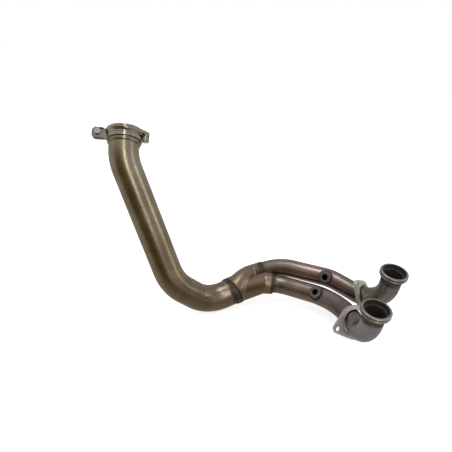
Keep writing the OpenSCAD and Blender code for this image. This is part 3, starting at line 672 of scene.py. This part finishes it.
# %% Saddle beads
# mm: how far outside the boss the bead's middle lies, half its width, and how deep it is sunk
SADDLE_OUT, SADDLE_HALF, SADDLE_SINK = 1.2, 1.9, 0.35
# mm: the height of its drops, and then how many there are
SADDLE_HEIGHT, SADDLE_DROPS = 2.3, 22


def saddle_bead(name, node, boss, seed):
    """A bead where the boss meets the pipe: at angle t its foot is on the pipe at height
    sqrt(R^2 - (r sin t)^2), with the pipe's axis along the boss frame's x axis."""
    t = np.linspace(0, 2 * np.pi, 96, endpoint=False)
    x, rise, swell = bead_profile(SADDLE_HEIGHT, SADDLE_DROPS, t, seed)
    r = BOSS_R + SADDLE_OUT + SADDLE_HALF * x[None, :] + 0.25 * np.sin(3 * t + seed)[:, None]
    foot = np.sqrt(np.maximum(HEADER_R**2 - (r * np.sin(t)[:, None]) ** 2, 1.0)) - SADDLE_SINK
    height = foot + swell[:, None] * rise[None, :]
    out = np.cos(t)[:, None] * boss[:3, 0] + np.sin(t)[:, None] * boss[:3, 1]
    grid = boss[:3, 3] + r[..., None] * out[:, None, :] + height[..., None] * boss[:3, 2]
    return bead_skin(name, node, grid, t * BOSS_R * MM, x * 2 * MM,
                     close_rows=True, close_columns=False)


beads += [saddle_bead("front_saddle_bead", "front_boss_weld", front_boss, 6.0),
          saddle_bead("back_saddle_bead", "back_boss_weld", back_boss, 7.0)]
print("beads in all:", len(beads))

# %% [markdown]
# ## The floor
# The header lies on a wide white floor. A backdrop that curves up could stand behind it, but the
# camera already sees a white world there.

# %% The floor
HALF_FLOOR, FLOOR_GAP = 6.0, 0.0004
floor_mesh = bpy.data.meshes.new("floor")
floor_corners = [(-HALF_FLOOR, -HALF_FLOOR, 0), (HALF_FLOOR, -HALF_FLOOR, 0),
                 (HALF_FLOOR, HALF_FLOOR, 0), (-HALF_FLOOR, HALF_FLOOR, 0)]
floor_mesh.from_pydata(floor_corners, [], [(0, 1, 2, 3)])
floor = bpy.data.objects.new("floor", floor_mesh)
floor.location.z = -FLOOR_GAP
bpy.context.scene.collection.objects.link(floor)
print("the floor is", 2 * HALF_FLOOR, "m wide")

# %% [markdown]
# ## Small helpers for node trees
# A material is a tree of nodes joined by links. Built by hand in the shader editor it can't be
# read line by line, so these helpers write it as sums: each takes sockets or plain numbers and
# hands back the socket with the result.


# %% Nodes and sums
def feed(tree, value, socket):
    """Joins a socket to an input, or writes a plain value into it."""
    if isinstance(value, bpy.types.NodeSocket):
        tree.links.new(value, socket)
    else:
        socket.default_value = value


def add(tree, kind, **settings):
    """A new node. Each setting is a property of the node, or else the name of an input, with
    spaces for underscores, fed with a socket or a plain value."""
    node = tree.nodes.new("ShaderNode" + kind)
    for key, value in settings.items():
        if hasattr(node, key):
            setattr(node, key, value)
        else:
            feed(tree, value, node.inputs[key.replace("_", " ")])
    return node


def maths(tree, operation, *values):
    """One sum: the values go into the node's inputs in order."""
    node = add(tree, "Math", operation=operation)
    for value, socket in zip(values, node.inputs):
        feed(tree, value, socket)
    return node.outputs[0]


print("nodes are written with", feed.__name__ + ",", add.__name__, "and", maths.__name__)

# %% [markdown]
# ## Ranges, mixes and materials
# Noise and distances rarely come in the range that a colour or a roughness wants, so they are
# spread over a new one. Mixing by such a value is what most of a finish is made of.


# %% Ranges, mixes and materials
def spread(tree, value, low, high, to_low, to_high):
    """Maps a value from one range to another, held at the ends."""
    return add(tree, "MapRange", Value=value, From_Min=low, From_Max=high, To_Min=to_low,
               To_Max=to_high).outputs["Result"]


def mix(tree, blend_type, a, b, factor):
    """A colour mix: a at factor 0 and b at 1."""
    node = add(tree, "Mix", data_type="RGBA", blend_type=blend_type)
    for value, index in ((factor, 0), (a, 6), (b, 7)):
        feed(tree, value, node.inputs[index])
    return node.outputs[2]


def choose(tree, factor, first, second):
    """A mix of two shaders: the first at factor 0 and the second at 1."""
    node = add(tree, "MixShader", Fac=factor)
    feed(tree, first, node.inputs[1])
    feed(tree, second, node.inputs[2])
    return node.outputs[0]


def new_material(name):
    """An empty material with a Principled shader joined to its output."""
    material = bpy.data.materials.new(name)
    material.use_nodes = True
    tree = material.node_tree
    tree.nodes.clear()
    shader, output = add(tree, "BsdfPrincipled"), add(tree, "OutputMaterial")
    tree.links.new(shader.outputs["BSDF"], output.inputs["Surface"])
    return material, tree, shader


print("finishes are mixed with", [f.__name__ for f in (spread, mix, choose, new_material)])

# %% [markdown]
# ## The white ground
# The photograph was cut out on white. A pale floor that glows for camera rays alone reaches the
# same white and still takes a faint shadow. More lamp light would reach it too, but it would
# bleach the metal.

# %% What the camera sees of the floor
GLOW = 0.74
ground, tree, shader = new_material("pale_ground")
shader.inputs["Base Color"].default_value = (0.86, 0.86, 0.85, 1)
shader.inputs["Roughness"].default_value = 0.9
rays = add(tree, "LightPath")
glow = add(tree, "Emission", Color=(1, 1, 1, 1),
           Strength=maths(tree, "MULTIPLY", rays.outputs["Is Camera Ray"], GLOW))
lit_floor = add(tree, "AddShader")
feed(tree, shader.outputs["BSDF"], lit_floor.inputs[0])
feed(tree, glow.outputs["Emission"], lit_floor.inputs[1])
floor_mesh.materials.append(ground)
print("the floor wears", ground.name, "and glows by", GLOW, "to the camera")

# %% [markdown]
# ## What the metal sees
# Metal shows what surrounds it. On an all-white floor a pipe would look like paper, so rays that
# bounce off metal see a floor that darkens in a wedge towards the camera. Its dark side is warm,
# which gives the pipes the dark olive core of the photograph.

# %% The floor in the mirror of the metal
DARK_SIDE, PALE_FLOOR = (1.0, 0.80, 0.45, 1), (1.0, 0.98, 0.94, 1)
WEDGE_SLOPE, WEDGE_FROM, WEDGE_TO = 1.5, -0.25, 0.15
spot = add(tree, "TexCoord").outputs["Object"]
parts = add(tree, "SeparateXYZ", Vector=spot)
wedge = maths(tree, "MULTIPLY_ADD", maths(tree, "ABSOLUTE", parts.outputs["X"]), WEDGE_SLOPE,
              parts.outputs["Y"])
paleness = spread(tree, wedge, WEDGE_FROM, WEDGE_TO, 0.0, 1.0)
mirror_view = add(tree, "Emission", Color=mix(tree, "MIX", DARK_SIDE, PALE_FLOOR, paleness),
                  Strength=spread(tree, wedge, WEDGE_FROM, WEDGE_TO, 0.15, 0.5))
surface = choose(tree, rays.outputs["Is Glossy Ray"], lit_floor.outputs[0],
                 mirror_view.outputs["Emission"])
output = next(n for n in tree.nodes if n.type == "OUTPUT_MATERIAL")
tree.links.new(surface, output.inputs["Surface"])
print("the ground's tree has", len(tree.nodes), "nodes")

# %% [markdown]
# ## The world
# The world is white to the eye. To the metal it is a dim room, darker where the camera stands, as
# in a light tent with an opening for the lens. A picture of a studio would do the same, but would
# have to be shipped with the file.

# %% The world: white to the eye, a dim room to the metal
OPENING, OPEN_FROM, OPEN_TO = (0.05, -1.0, 0.0), 0.66, 0.92
world = bpy.data.worlds.new("studio")
bpy.context.scene.world = world
world.use_nodes = True
wt = world.node_tree
wt.nodes.clear()
look = add(wt, "TexCoord").outputs["Generated"]
facing_node = add(wt, "VectorMath", operation="DOT_PRODUCT")
feed(wt, look, facing_node.inputs[0])
feed(wt, OPENING, facing_node.inputs[1])
facing = facing_node.outputs["Value"]
openness = spread(wt, facing, OPEN_FROM, OPEN_TO, 0.0, 1.0)
room = add(wt, "Background", Color=mix(wt, "MIX", (0.97, 0.98, 1.0, 1), DARK_SIDE, openness),
           Strength=spread(wt, facing, OPEN_FROM, OPEN_TO, 0.55, 0.16))
white = add(wt, "Background", Color=(1, 1, 1, 1), Strength=1.0)
seen = choose(wt, add(wt, "LightPath").outputs["Is Camera Ray"], room.outputs[0], white.outputs[0])
wt.links.new(seen, add(wt, "OutputWorld").inputs["Surface"])
print("the world's tree has", len(wt.nodes), "nodes")

# %% [markdown]
# ## The camera
# The camera stands where the vanishing of the pipes puts it. Its heading, its tilt and a slight
# roll are named angles, because a matrix of nine numbers would say nothing to a reader.

# %% The camera
CAMERA_PLACE = Vector((0.32720, -0.57499, 0.41475))
CAMERA_HEADING, CAMERA_TILT, CAMERA_ROLL = 33.4028, 19.5182, -4.1948
FOCAL_PIXELS, IMAGE_PIXELS, SENSOR = 408.73, 452, 36.0
camera = bpy.data.objects.new("camera", bpy.data.cameras.new("camera"))
camera.data.sensor_width = SENSOR
camera.data.lens = SENSOR * FOCAL_PIXELS / IMAGE_PIXELS
camera.data.clip_start, camera.data.clip_end = 0.02, 50
aim = Matrix.Rotation(math.radians(CAMERA_HEADING), 4, "Z") \
    @ Matrix.Rotation(math.radians(90 - CAMERA_TILT), 4, "X") \
    @ Matrix.Rotation(math.radians(CAMERA_ROLL), 4, "Z")
camera.matrix_world = Matrix.Translation(CAMERA_PLACE) @ aim
bpy.context.scene.collection.objects.link(camera)
bpy.context.scene.camera = camera
print("lens", round(camera.data.lens, 1), "mm,", round(CAMERA_PLACE.length, 2), "m away")

# %% [markdown]
# ## The lamps
# A bright streak on a pipe is the picture of a lamp, so each lamp is placed by where its picture
# should fall: a tall strip for the long pipe, a window for the lower bend, and a soft square
# overhead for the header pipes and the collector. Point lamps would give hard little dots.


# %% Three soft boxes
def softbox(name, place, target, width, height, watts):
    """A rectangular lamp that faces a target point."""
    lamp = bpy.data.objects.new(name, bpy.data.lights.new(name, "AREA"))
    lamp.data.shape, lamp.data.size, lamp.data.size_y = "RECTANGLE", width, height
    lamp.data.energy = watts
    lamp.location = place
    lamp.rotation_euler = (Vector(target) - Vector(place)).to_track_quat("-Z", "Y").to_euler()
    bpy.context.scene.collection.objects.link(lamp)
    print(name, "gives", watts, "W from", [round(v, 2) for v in place])


def towards(heading, height, distance):
    """A point at that distance: heading 0 looks along +Y and 90 along -X, height in degrees."""
    a, e = math.radians(heading), math.radians(height)
    flat = math.cos(e) * distance
    return (-math.sin(a) * flat, math.cos(a) * flat, math.sin(e) * distance)


MIDDLE, LAMP_DISTANCE = (0.0, 0.0, 0.12), 2.5
softbox("tall_strip", towards(-132, 35, LAMP_DISTANCE), MIDDLE, 0.34, 2.5, 11.0)
softbox("window", towards(-66, 16, LAMP_DISTANCE), MIDDLE, 0.55, 1.3, 4.5)
softbox("overhead", (0.1, 0.0, 2.4), MIDDLE, 1.1, 1.1, 12.5)

# %% [markdown]
# ## Groups of nodes
# An effect that several materials share is built once, as a group with named inputs and outputs,
# and each material places it with its own values. The group hands out colours, roughness and
# height only. The shader itself stays in the material.


# %% Helpers for groups
def group_io(name, inputs, outputs):
    """A node group with its sockets: each input is (name, kind, default)."""
    group = bpy.data.node_groups.new(name, "ShaderNodeTree")
    for label, kind, default in inputs:
        socket = group.interface.new_socket(label, in_out="INPUT",
                                            socket_type="NodeSocket" + kind)
        if default is not None:
            socket.default_value = default
    for label, kind in outputs:
        group.interface.new_socket(label, in_out="OUTPUT", socket_type="NodeSocket" + kind)
    given, made = group.nodes.new("NodeGroupInput"), group.nodes.new("NodeGroupOutput")
    return group, given.outputs, made.inputs


def noise(tree, vector, scale, detail=4.0, rough=0.55, distortion=0.0):
    """Noise about 1 / scale metres wide, from 0 to 1 with most of it near 0.5."""
    return add(tree, "TexNoise", Vector=vector, Scale=scale, Detail=detail, Roughness=rough,
               Distortion=distortion).outputs["Fac"]


print("noise at scale 22 has clouds about", round(1000 / 22), "mm wide")

# %% [markdown]
# ## Temper colours
# Hot stainless steel grows a thin oxide that shows as straw, bronze, purple and blue. The colour
# follows the heat, so it changes in soft clouds, and turns grey-brown with a ragged edge at a
# weld. Image textures would need a photograph of each pipe. Noise with the right scale needs none.

# %% The colour of heated steel
heated, given, made = group_io(
    "heated_steel",
    [("Place", "Vector", None), ("Grain", "Vector", None), ("Tint A", "Color", (0.3, 0.25, 0.2, 1)),
     ("Tint B", "Color", (0.2, 0.16, 0.14, 1)), ("Scorch", "Float", 0.0),
     ("Scorch Colour", "Color", (0.05, 0.045, 0.043, 1)), ("Shine", "Float", 0.3)],
    [("Colour", "Color"), ("Roughness", "Float"), ("Height", "Float")])
place = given["Place"]
clouds = spread(heated, noise(heated, place, 22, 5, 0.5, 0.6), 0.36, 0.64, 0.0, 1.0)
mottle = spread(heated, noise(heated, place, 160, 5, 0.62), 0.3, 0.75, 0.0, 1.0)
specks = spread(heated, noise(heated, place, 420, 2, 0.5), 0.68, 0.76, 0.0, 0.35)
colour = mix(heated, "MIX", given["Tint A"], given["Tint B"], clouds)
colour = mix(heated, "MULTIPLY", colour, (0.76, 0.74, 0.72, 1),
             spread(heated, mottle, 0.45, 1.0, 0.0, 0.4))
colour = mix(heated, "MULTIPLY", colour, (0.4, 0.36, 0.33, 1), specks)
edge = spread(heated, noise(heated, place, 90, 4, 0.6), 0.3, 0.7, -0.35, 0.35)
ragged = maths(heated, "MULTIPLY_ADD", edge, given["Scorch"], given["Scorch"])
burnt = spread(heated, ragged, 0.15, 0.85, 0.0, 0.92)
feed(heated, mix(heated, "MIX", colour, given["Scorch Colour"], burnt), made["Colour"])
print("the colour takes", len(heated.nodes), "nodes")

# %% [markdown]
# ## Shine and relief
# A drawn tube is bright where it was rubbed and dull where it was burnt. Its surface has fine
# lines from the drawing die, and small lumps where the oxide is thick. These are too fine for
# geometry, so they go to roughness and to a bump.

# %% The shine and the relief of heated steel
handled = spread(heated, noise(heated, place, 60, 6, 0.65), 0.3, 0.7, -0.06, 0.1)
rough = maths(heated, "ADD", given["Shine"], handled)
feed(heated, maths(heated, "MULTIPLY_ADD", burnt, 0.22, rough), made["Roughness"])
drawn = noise(heated, given["Grain"], 1.0, 3, 0.6)
fine = spread(heated, noise(heated, place, 900, 3, 0.6), 0.0, 1.0, 0.0, 0.35)
height = maths(heated, "MULTIPLY_ADD", drawn, 0.6, fine)
feed(heated, maths(heated, "MULTIPLY_ADD", burnt, mottle, height), made["Height"])
print("with shine and relief it takes", len(heated.nodes), "nodes")

# %% [markdown]
# ## Soot in a bore
# Inside, everything the gas touched is dull black-brown. The turned collars and bosses are CAD
# pieces without attributes of ours, so soot is found by geometry: all that lies nearer to the
# bore's axis than its radius is sooty.

# %% The soot group
SOOT = (0.036, 0.030, 0.026)
sooty, given, made = group_io(
    "soot_in_a_bore",
    [("Place", "Vector", None), ("Mouth", "Vector", None), ("Axis", "Vector", None),
     ("Bore", "Float", 0.019)], [("Soot", "Float")])


def vector_maths(tree, operation, *values):
    """The same as maths, for sums on vectors; it hands back the node."""
    node = add(tree, "VectorMath", operation=operation)
    for value, socket in zip(values, node.inputs):
        feed(tree, value, socket)
    return node


away = vector_maths(sooty, "SUBTRACT", given["Place"], given["Mouth"])
swept = vector_maths(sooty, "CROSS_PRODUCT", away.outputs[0], given["Axis"])
far_off = vector_maths(sooty, "LENGTH", swept.outputs[0])
beyond = maths(sooty, "SUBTRACT", far_off.outputs["Value"], given["Bore"])
feed(sooty, spread(sooty, beyond, 0.0001, 0.0008, 0.96, 0.0), made["Soot"])
print("the soot group has", len(sooty.nodes), "nodes")

# %% [markdown]
# ## Where the pattern comes from
# Our own skins have UVs in metres, so their grain runs along the tube. The CAD pieces have none
# and read object coordinates. On a pipe the two tints come from a colour ramp over the distance
# along it, shaken by noise, since heat never ends in a straight line.


# %% Grain and tints
def lay_grain(tree, spot, skin_node, grain, own_skin):
    """Stretches the grain: along and across the tube by UV, or in z and in x, y by object."""
    if own_skin:
        lookup = add(tree, "UVMap", uv_map="Metres").outputs["UV"]
        scale = (grain[0], grain[1], 1)
        scorch_mask = add(tree, "Attribute", attribute_name="scorch").outputs["Fac"]
        feed(tree, scorch_mask, skin_node.inputs["Scorch"])
    else:
        lookup, scale = spot, (grain[1], grain[1], grain[0])
    stretch = add(tree, "Mapping", Vector=lookup, Scale=scale)
    feed(tree, stretch.outputs["Vector"], skin_node.inputs["Grain"])


def tints_along(tree, spot, skin_node, ramp):
    """Two colour ramps over distance + 0.16 noise; each stop is (place, tint A, tint B)."""
    run = add(tree, "Attribute", attribute_name="along").outputs["Fac"]
    shaken = maths(tree, "MULTIPLY_ADD", noise(tree, spot, 18, 4, 0.55), 0.16, run)
    for index, label in ((1, "Tint A"), (2, "Tint B")):
        band = add(tree, "ValToRGB", Fac=shaken)
        stops = band.color_ramp.elements
        stops.remove(stops[1])
        for k, stop in enumerate(ramp):
            element = stops[0] if k == 0 else stops.new(stop[0])
            element.position, element.color = stop[0] + 0.08, (*stop[index], 1)
        feed(tree, band.outputs["Color"], skin_node.inputs[label])


print("grain and tints are set by", lay_grain.__name__, "and", tints_along.__name__)

# %% [markdown]
# ## Soot on a finish
# Soot is no metal, so where it lies the metallic share falls to nothing and the roughness rises.
# Black paint on a shiny metal would still mirror the lamps and look wet.


# %% Soot on a finish
def blacken(tree, spot, colour, metallic, own_skin, axes, bore):
    """Mixes soot into the colour: inside the pipes by their attribute, and in the bores round the
    given axes. Hands back the colour and how metallic the surface still is, or None."""
    clean = None
    if own_skin:
        inner = add(tree, "Attribute", attribute_name="inside").outputs["Fac"]
        colour = mix(tree, "MIX", colour, (*SOOT, 1), spread(tree, inner, 0.05, 0.3, 0.0, 0.97))
        clean = spread(tree, inner, 0.05, 0.3, metallic, 0.0)
    for axis in axes:
        near = add(tree, "Group", node_tree=sooty, Place=spot, Mouth=axis[:3, 3] * MM,
                   Axis=axis[:3, 2], Bore=bore * MM).outputs["Soot"]
        colour = mix(tree, "MIX", colour, (*SOOT, 1), near)
        clean = maths(tree, "SUBTRACT", metallic if clean is None else clean, near)
    return colour, clean


print("soot has the colour", SOOT)

# %% [markdown]
# ## One heated steel
# Every metal of the header is the same kind of surface with other numbers: two tints, a shine, a
# scorch colour, a depth of relief and a grain. One function makes them all, which keeps them
# alike where they should be and leaves a table of numbers to read.

# %% A finish from its numbers
SCORCH = (0.060, 0.053, 0.050)


def steel(name, shine, bump, tints=None, ramp=None, scorch=SCORCH, grain=(40, 900),
          own_skin=True, metallic=1.0, axes=(), bore=19.0):
    """One heated steel, with two tints, or a ramp of them along the pipe."""
    material, tree, shader = new_material(name)
    spot = add(tree, "TexCoord").outputs["Object"]
    skin_node = add(tree, "Group", node_tree=heated, Place=spot, Shine=shine,
                    Scorch_Colour=(*scorch, 1))
    lay_grain(tree, spot, skin_node, grain, own_skin)
    if ramp:
        tints_along(tree, spot, skin_node, ramp)
    else:
        feed(tree, (*tints[0], 1), skin_node.inputs["Tint A"])
        feed(tree, (*tints[1], 1), skin_node.inputs["Tint B"])
    roughness = skin_node.outputs["Roughness"]
    colour, clean = blacken(tree, spot, skin_node.outputs["Colour"], metallic, own_skin, axes, bore)
    if clean is not None:
        roughness = maths(tree, "MAXIMUM", roughness, spread(tree, clean, 0.0, metallic, 0.85, 0.0))
    relief = add(tree, "Bump", Strength=0.3, Distance=bump, Height=skin_node.outputs["Height"])
    feed(tree, colour, shader.inputs["Base Color"])
    feed(tree, metallic if clean is None else clean, shader.inputs["Metallic"])
    feed(tree, roughness, shader.inputs["Roughness"])
    feed(tree, relief.outputs["Normal"], shader.inputs["Normal"])
    return material


print("scorched steel has the colour", SCORCH)

# %% [markdown]
# ## Putting a finish on
# A CAD piece comes with one material for each of its faces' colours, and our own skins come with
# none. One helper serves both, so that no slot keeps the plain CAD colour.


# %% Wearing a finish
def wear(piece, material):
    """Gives a piece, or every slot of a CAD node, one material."""
    if not piece.data.materials:
        piece.data.materials.append(material)
    for slot in piece.material_slots:
        slot.material = material
    print(piece.name, "wears", material.name)


print("the pieces to dress:", 4 + len(beads), "skins and the CAD pieces")

# %% [markdown]
# ## Tints along the pipes
# The ports are the hottest: the front elbow is blue-grey with a purple cast. The primaries turn
# brown with a pink bloom, and the long pipe ends in olive bronze. Painted colours could follow
# that too, but stops can be read and changed as numbers. Each stop gives the share of the pipe's
# length and the two tints that the clouds mix there. On the header pipes the stops are also paler
# at the elbows and in the middle, painted light for highlights and for light from the right there.

# %% The three pipe finishes
PIPE_BUMP = 0.000007
main_finish = steel("olive_bronze_tube", 0.27, PIPE_BUMP, ramp=[
    (0.00, (0.270, 0.202, 0.144), (0.198, 0.154, 0.119)),
    (0.30, (0.345, 0.267, 0.164), (0.224, 0.172, 0.117)),
    (0.55, (0.318, 0.258, 0.160), (0.242, 0.192, 0.114)),
    (0.85, (0.370, 0.315, 0.225), (0.285, 0.235, 0.152))])
# the paler elbow stop and the raised middle stops are partly painted highlight
front_finish = steel("blue_grey_to_brown_tube", 0.29, PIPE_BUMP, ramp=[
    (0.00, (0.403, 0.405, 0.413), (0.319, 0.310, 0.356)),
    (0.20, (0.315, 0.286, 0.304), (0.215, 0.185, 0.195)),
    (0.36, (0.260, 0.198, 0.192), (0.185, 0.138, 0.134)),
    (0.62, (0.288, 0.220, 0.194), (0.208, 0.158, 0.144)),
    (0.90, (0.332, 0.270, 0.198), (0.234, 0.187, 0.144))])
# the paled first stop is painted light from the right on the elbow; the raised middle stops are
# partly painted highlight
back_finish = steel("dark_brown_tube", 0.31, PIPE_BUMP, ramp=[
    (0.00, (0.347, 0.315, 0.284), (0.200, 0.173, 0.152)),
    (0.26, (0.223, 0.189, 0.165), (0.131, 0.109, 0.095)),
    (0.38, (0.248, 0.185, 0.172), (0.174, 0.129, 0.122)),
    (0.62, (0.333, 0.255, 0.219), (0.239, 0.182, 0.162)),
    (0.90, (0.341, 0.277, 0.218), (0.244, 0.199, 0.164))])
wear(front_pipe, front_finish)
wear(back_pipe, back_finish)
wear(main_pipe, main_finish)

# %% [markdown]
# ## Sheet and weld metal
# The collector's sheet is pinkish brown and a little duller than the tubes. Weld metal is grey
# and rough where it was laid by hand. The thin beads at the port collars get pale tints and a
# pale scorch colour, a painted highlight for the bright band that light puts just below the rings.

# %% The collector and the beads
collector_finish = steel(
    "pink_brown_sheet", 0.34, 0.00012, ((0.300, 0.222, 0.150), (0.235, 0.168, 0.120)),
    grain=(300, 300))
weld_finish = steel(
    "weld_metal", 0.34, 0.00015, ((0.290, 0.232, 0.190), (0.185, 0.142, 0.124)),
    scorch=(0.155, 0.122, 0.112), grain=(600, 600))
# pale tints and scorch colour of the collar beads: painted highlight below the collar rings
collar_weld_highlight_finish = steel(
    "collar_weld_painted_highlight", 0.24, 0.0001, ((0.430, 0.400, 0.350), (0.330, 0.300, 0.260)),
    scorch=(0.20, 0.18, 0.16), grain=(600, 600))
saddle_weld_finish = steel(
    "scorched_saddle_weld", 0.42, 0.0002, ((0.200, 0.178, 0.165), (0.125, 0.110, 0.103)),
    scorch=(0.110, 0.095, 0.088), grain=(500, 500))
wear(collector, collector_finish)
for bead in beads:
    wear(bead, collar_weld_highlight_finish if "collar" in bead.name
         else saddle_weld_finish if "saddle" in bead.name else weld_finish)

# %% [markdown]
# ## The CAD pieces
# Collars, flanges, bosses, the sleeve, the clamp and its fasteners already have their true shape
# in the CAD, so they keep their own meshes and only get a finish. The flanges are the palest,
# since loose plate stays cool.

# %% Finishes of the CAD pieces
CAD_FINISHES = [
    (("front_port_collar", "back_port_collar"), "turned_collar", 0.30, 0.00005,
     ((0.390, 0.367, 0.323), (0.285, 0.267, 0.232)), (300, 300),
     {"axes": (FRONT_START, BACK_START), "bore": 18.9}),
    (("front_port_flange", "back_port_flange"), "dull_stamped_plate", 0.46, 0.0001,
     ((0.760, 0.750, 0.700), (0.620, 0.610, 0.565)), (220, 220), {"metallic": 0.85}),
    (("front_sensor_boss", "back_sensor_boss"), "dull_turned_boss", 0.42, 0.00008,
     ((0.225, 0.210, 0.198), (0.150, 0.141, 0.135)), (300, 300),
     {"axes": (front_boss, back_boss), "bore": 5.5}),
    (("outlet_collar", "outlet_collar_weld"), "bronze_sleeve", 0.22, 0.00005,
     ((0.330, 0.275, 0.200), (0.240, 0.195, 0.135)), (200, 200), {}),
    (("clamp_near_half", "clamp_far_half"), "bronze_grey_clamp", 0.17, 0.00004,
     ((0.470, 0.415, 0.350), (0.350, 0.300, 0.245)), (200, 200), {}),
    (("clamp_hinge_pin", "clamp_bolt", "clamp_washer", "clamp_nut"), "plain_fastener", 0.24,
     0.00005, ((0.680, 0.680, 0.665), (0.500, 0.500, 0.485)), (300, 300), {}),
]
for names, finish_name, shine, bump, tints, grain, more in CAD_FINISHES:
    finish = steel(finish_name, shine, bump, tints, grain=grain, own_skin=False, **more)
    for name in names:
        wear(nodes[name], finish)

# %% [markdown]
# ## Broken edges
# Stamped plate and turned rings never have a razor edge. A narrow bevel gives each edge a thin
# highlight. It is a live modifier on the CAD pieces, so that their own meshes stay as they are.

# %% Narrow bevels on the CAD pieces
EDGES = {"front_port_flange": 0.5, "back_port_flange": 0.5,
         "front_port_collar": 0.4, "back_port_collar": 0.4,
         "front_sensor_boss": 0.5, "back_sensor_boss": 0.5,
         "clamp_near_half": 0.45, "clamp_far_half": 0.45}
SHARPER_THAN = math.radians(35)
for name, width in EDGES.items():
    bevel = nodes[name].modifiers.new("Edge", "BEVEL")
    bevel.width, bevel.segments = width * MM, 2
    bevel.limit_method, bevel.angle_limit = "ANGLE", SHARPER_THAN
    bevel.use_clamp_overlap, bevel.harden_normals = True, False
print("bevelled:", ", ".join(EDGES))

# %% [markdown]
# ## The finish
# The standard view keeps the colours as written.

# %% The end
bpy.context.scene.view_settings.view_transform = "Standard"
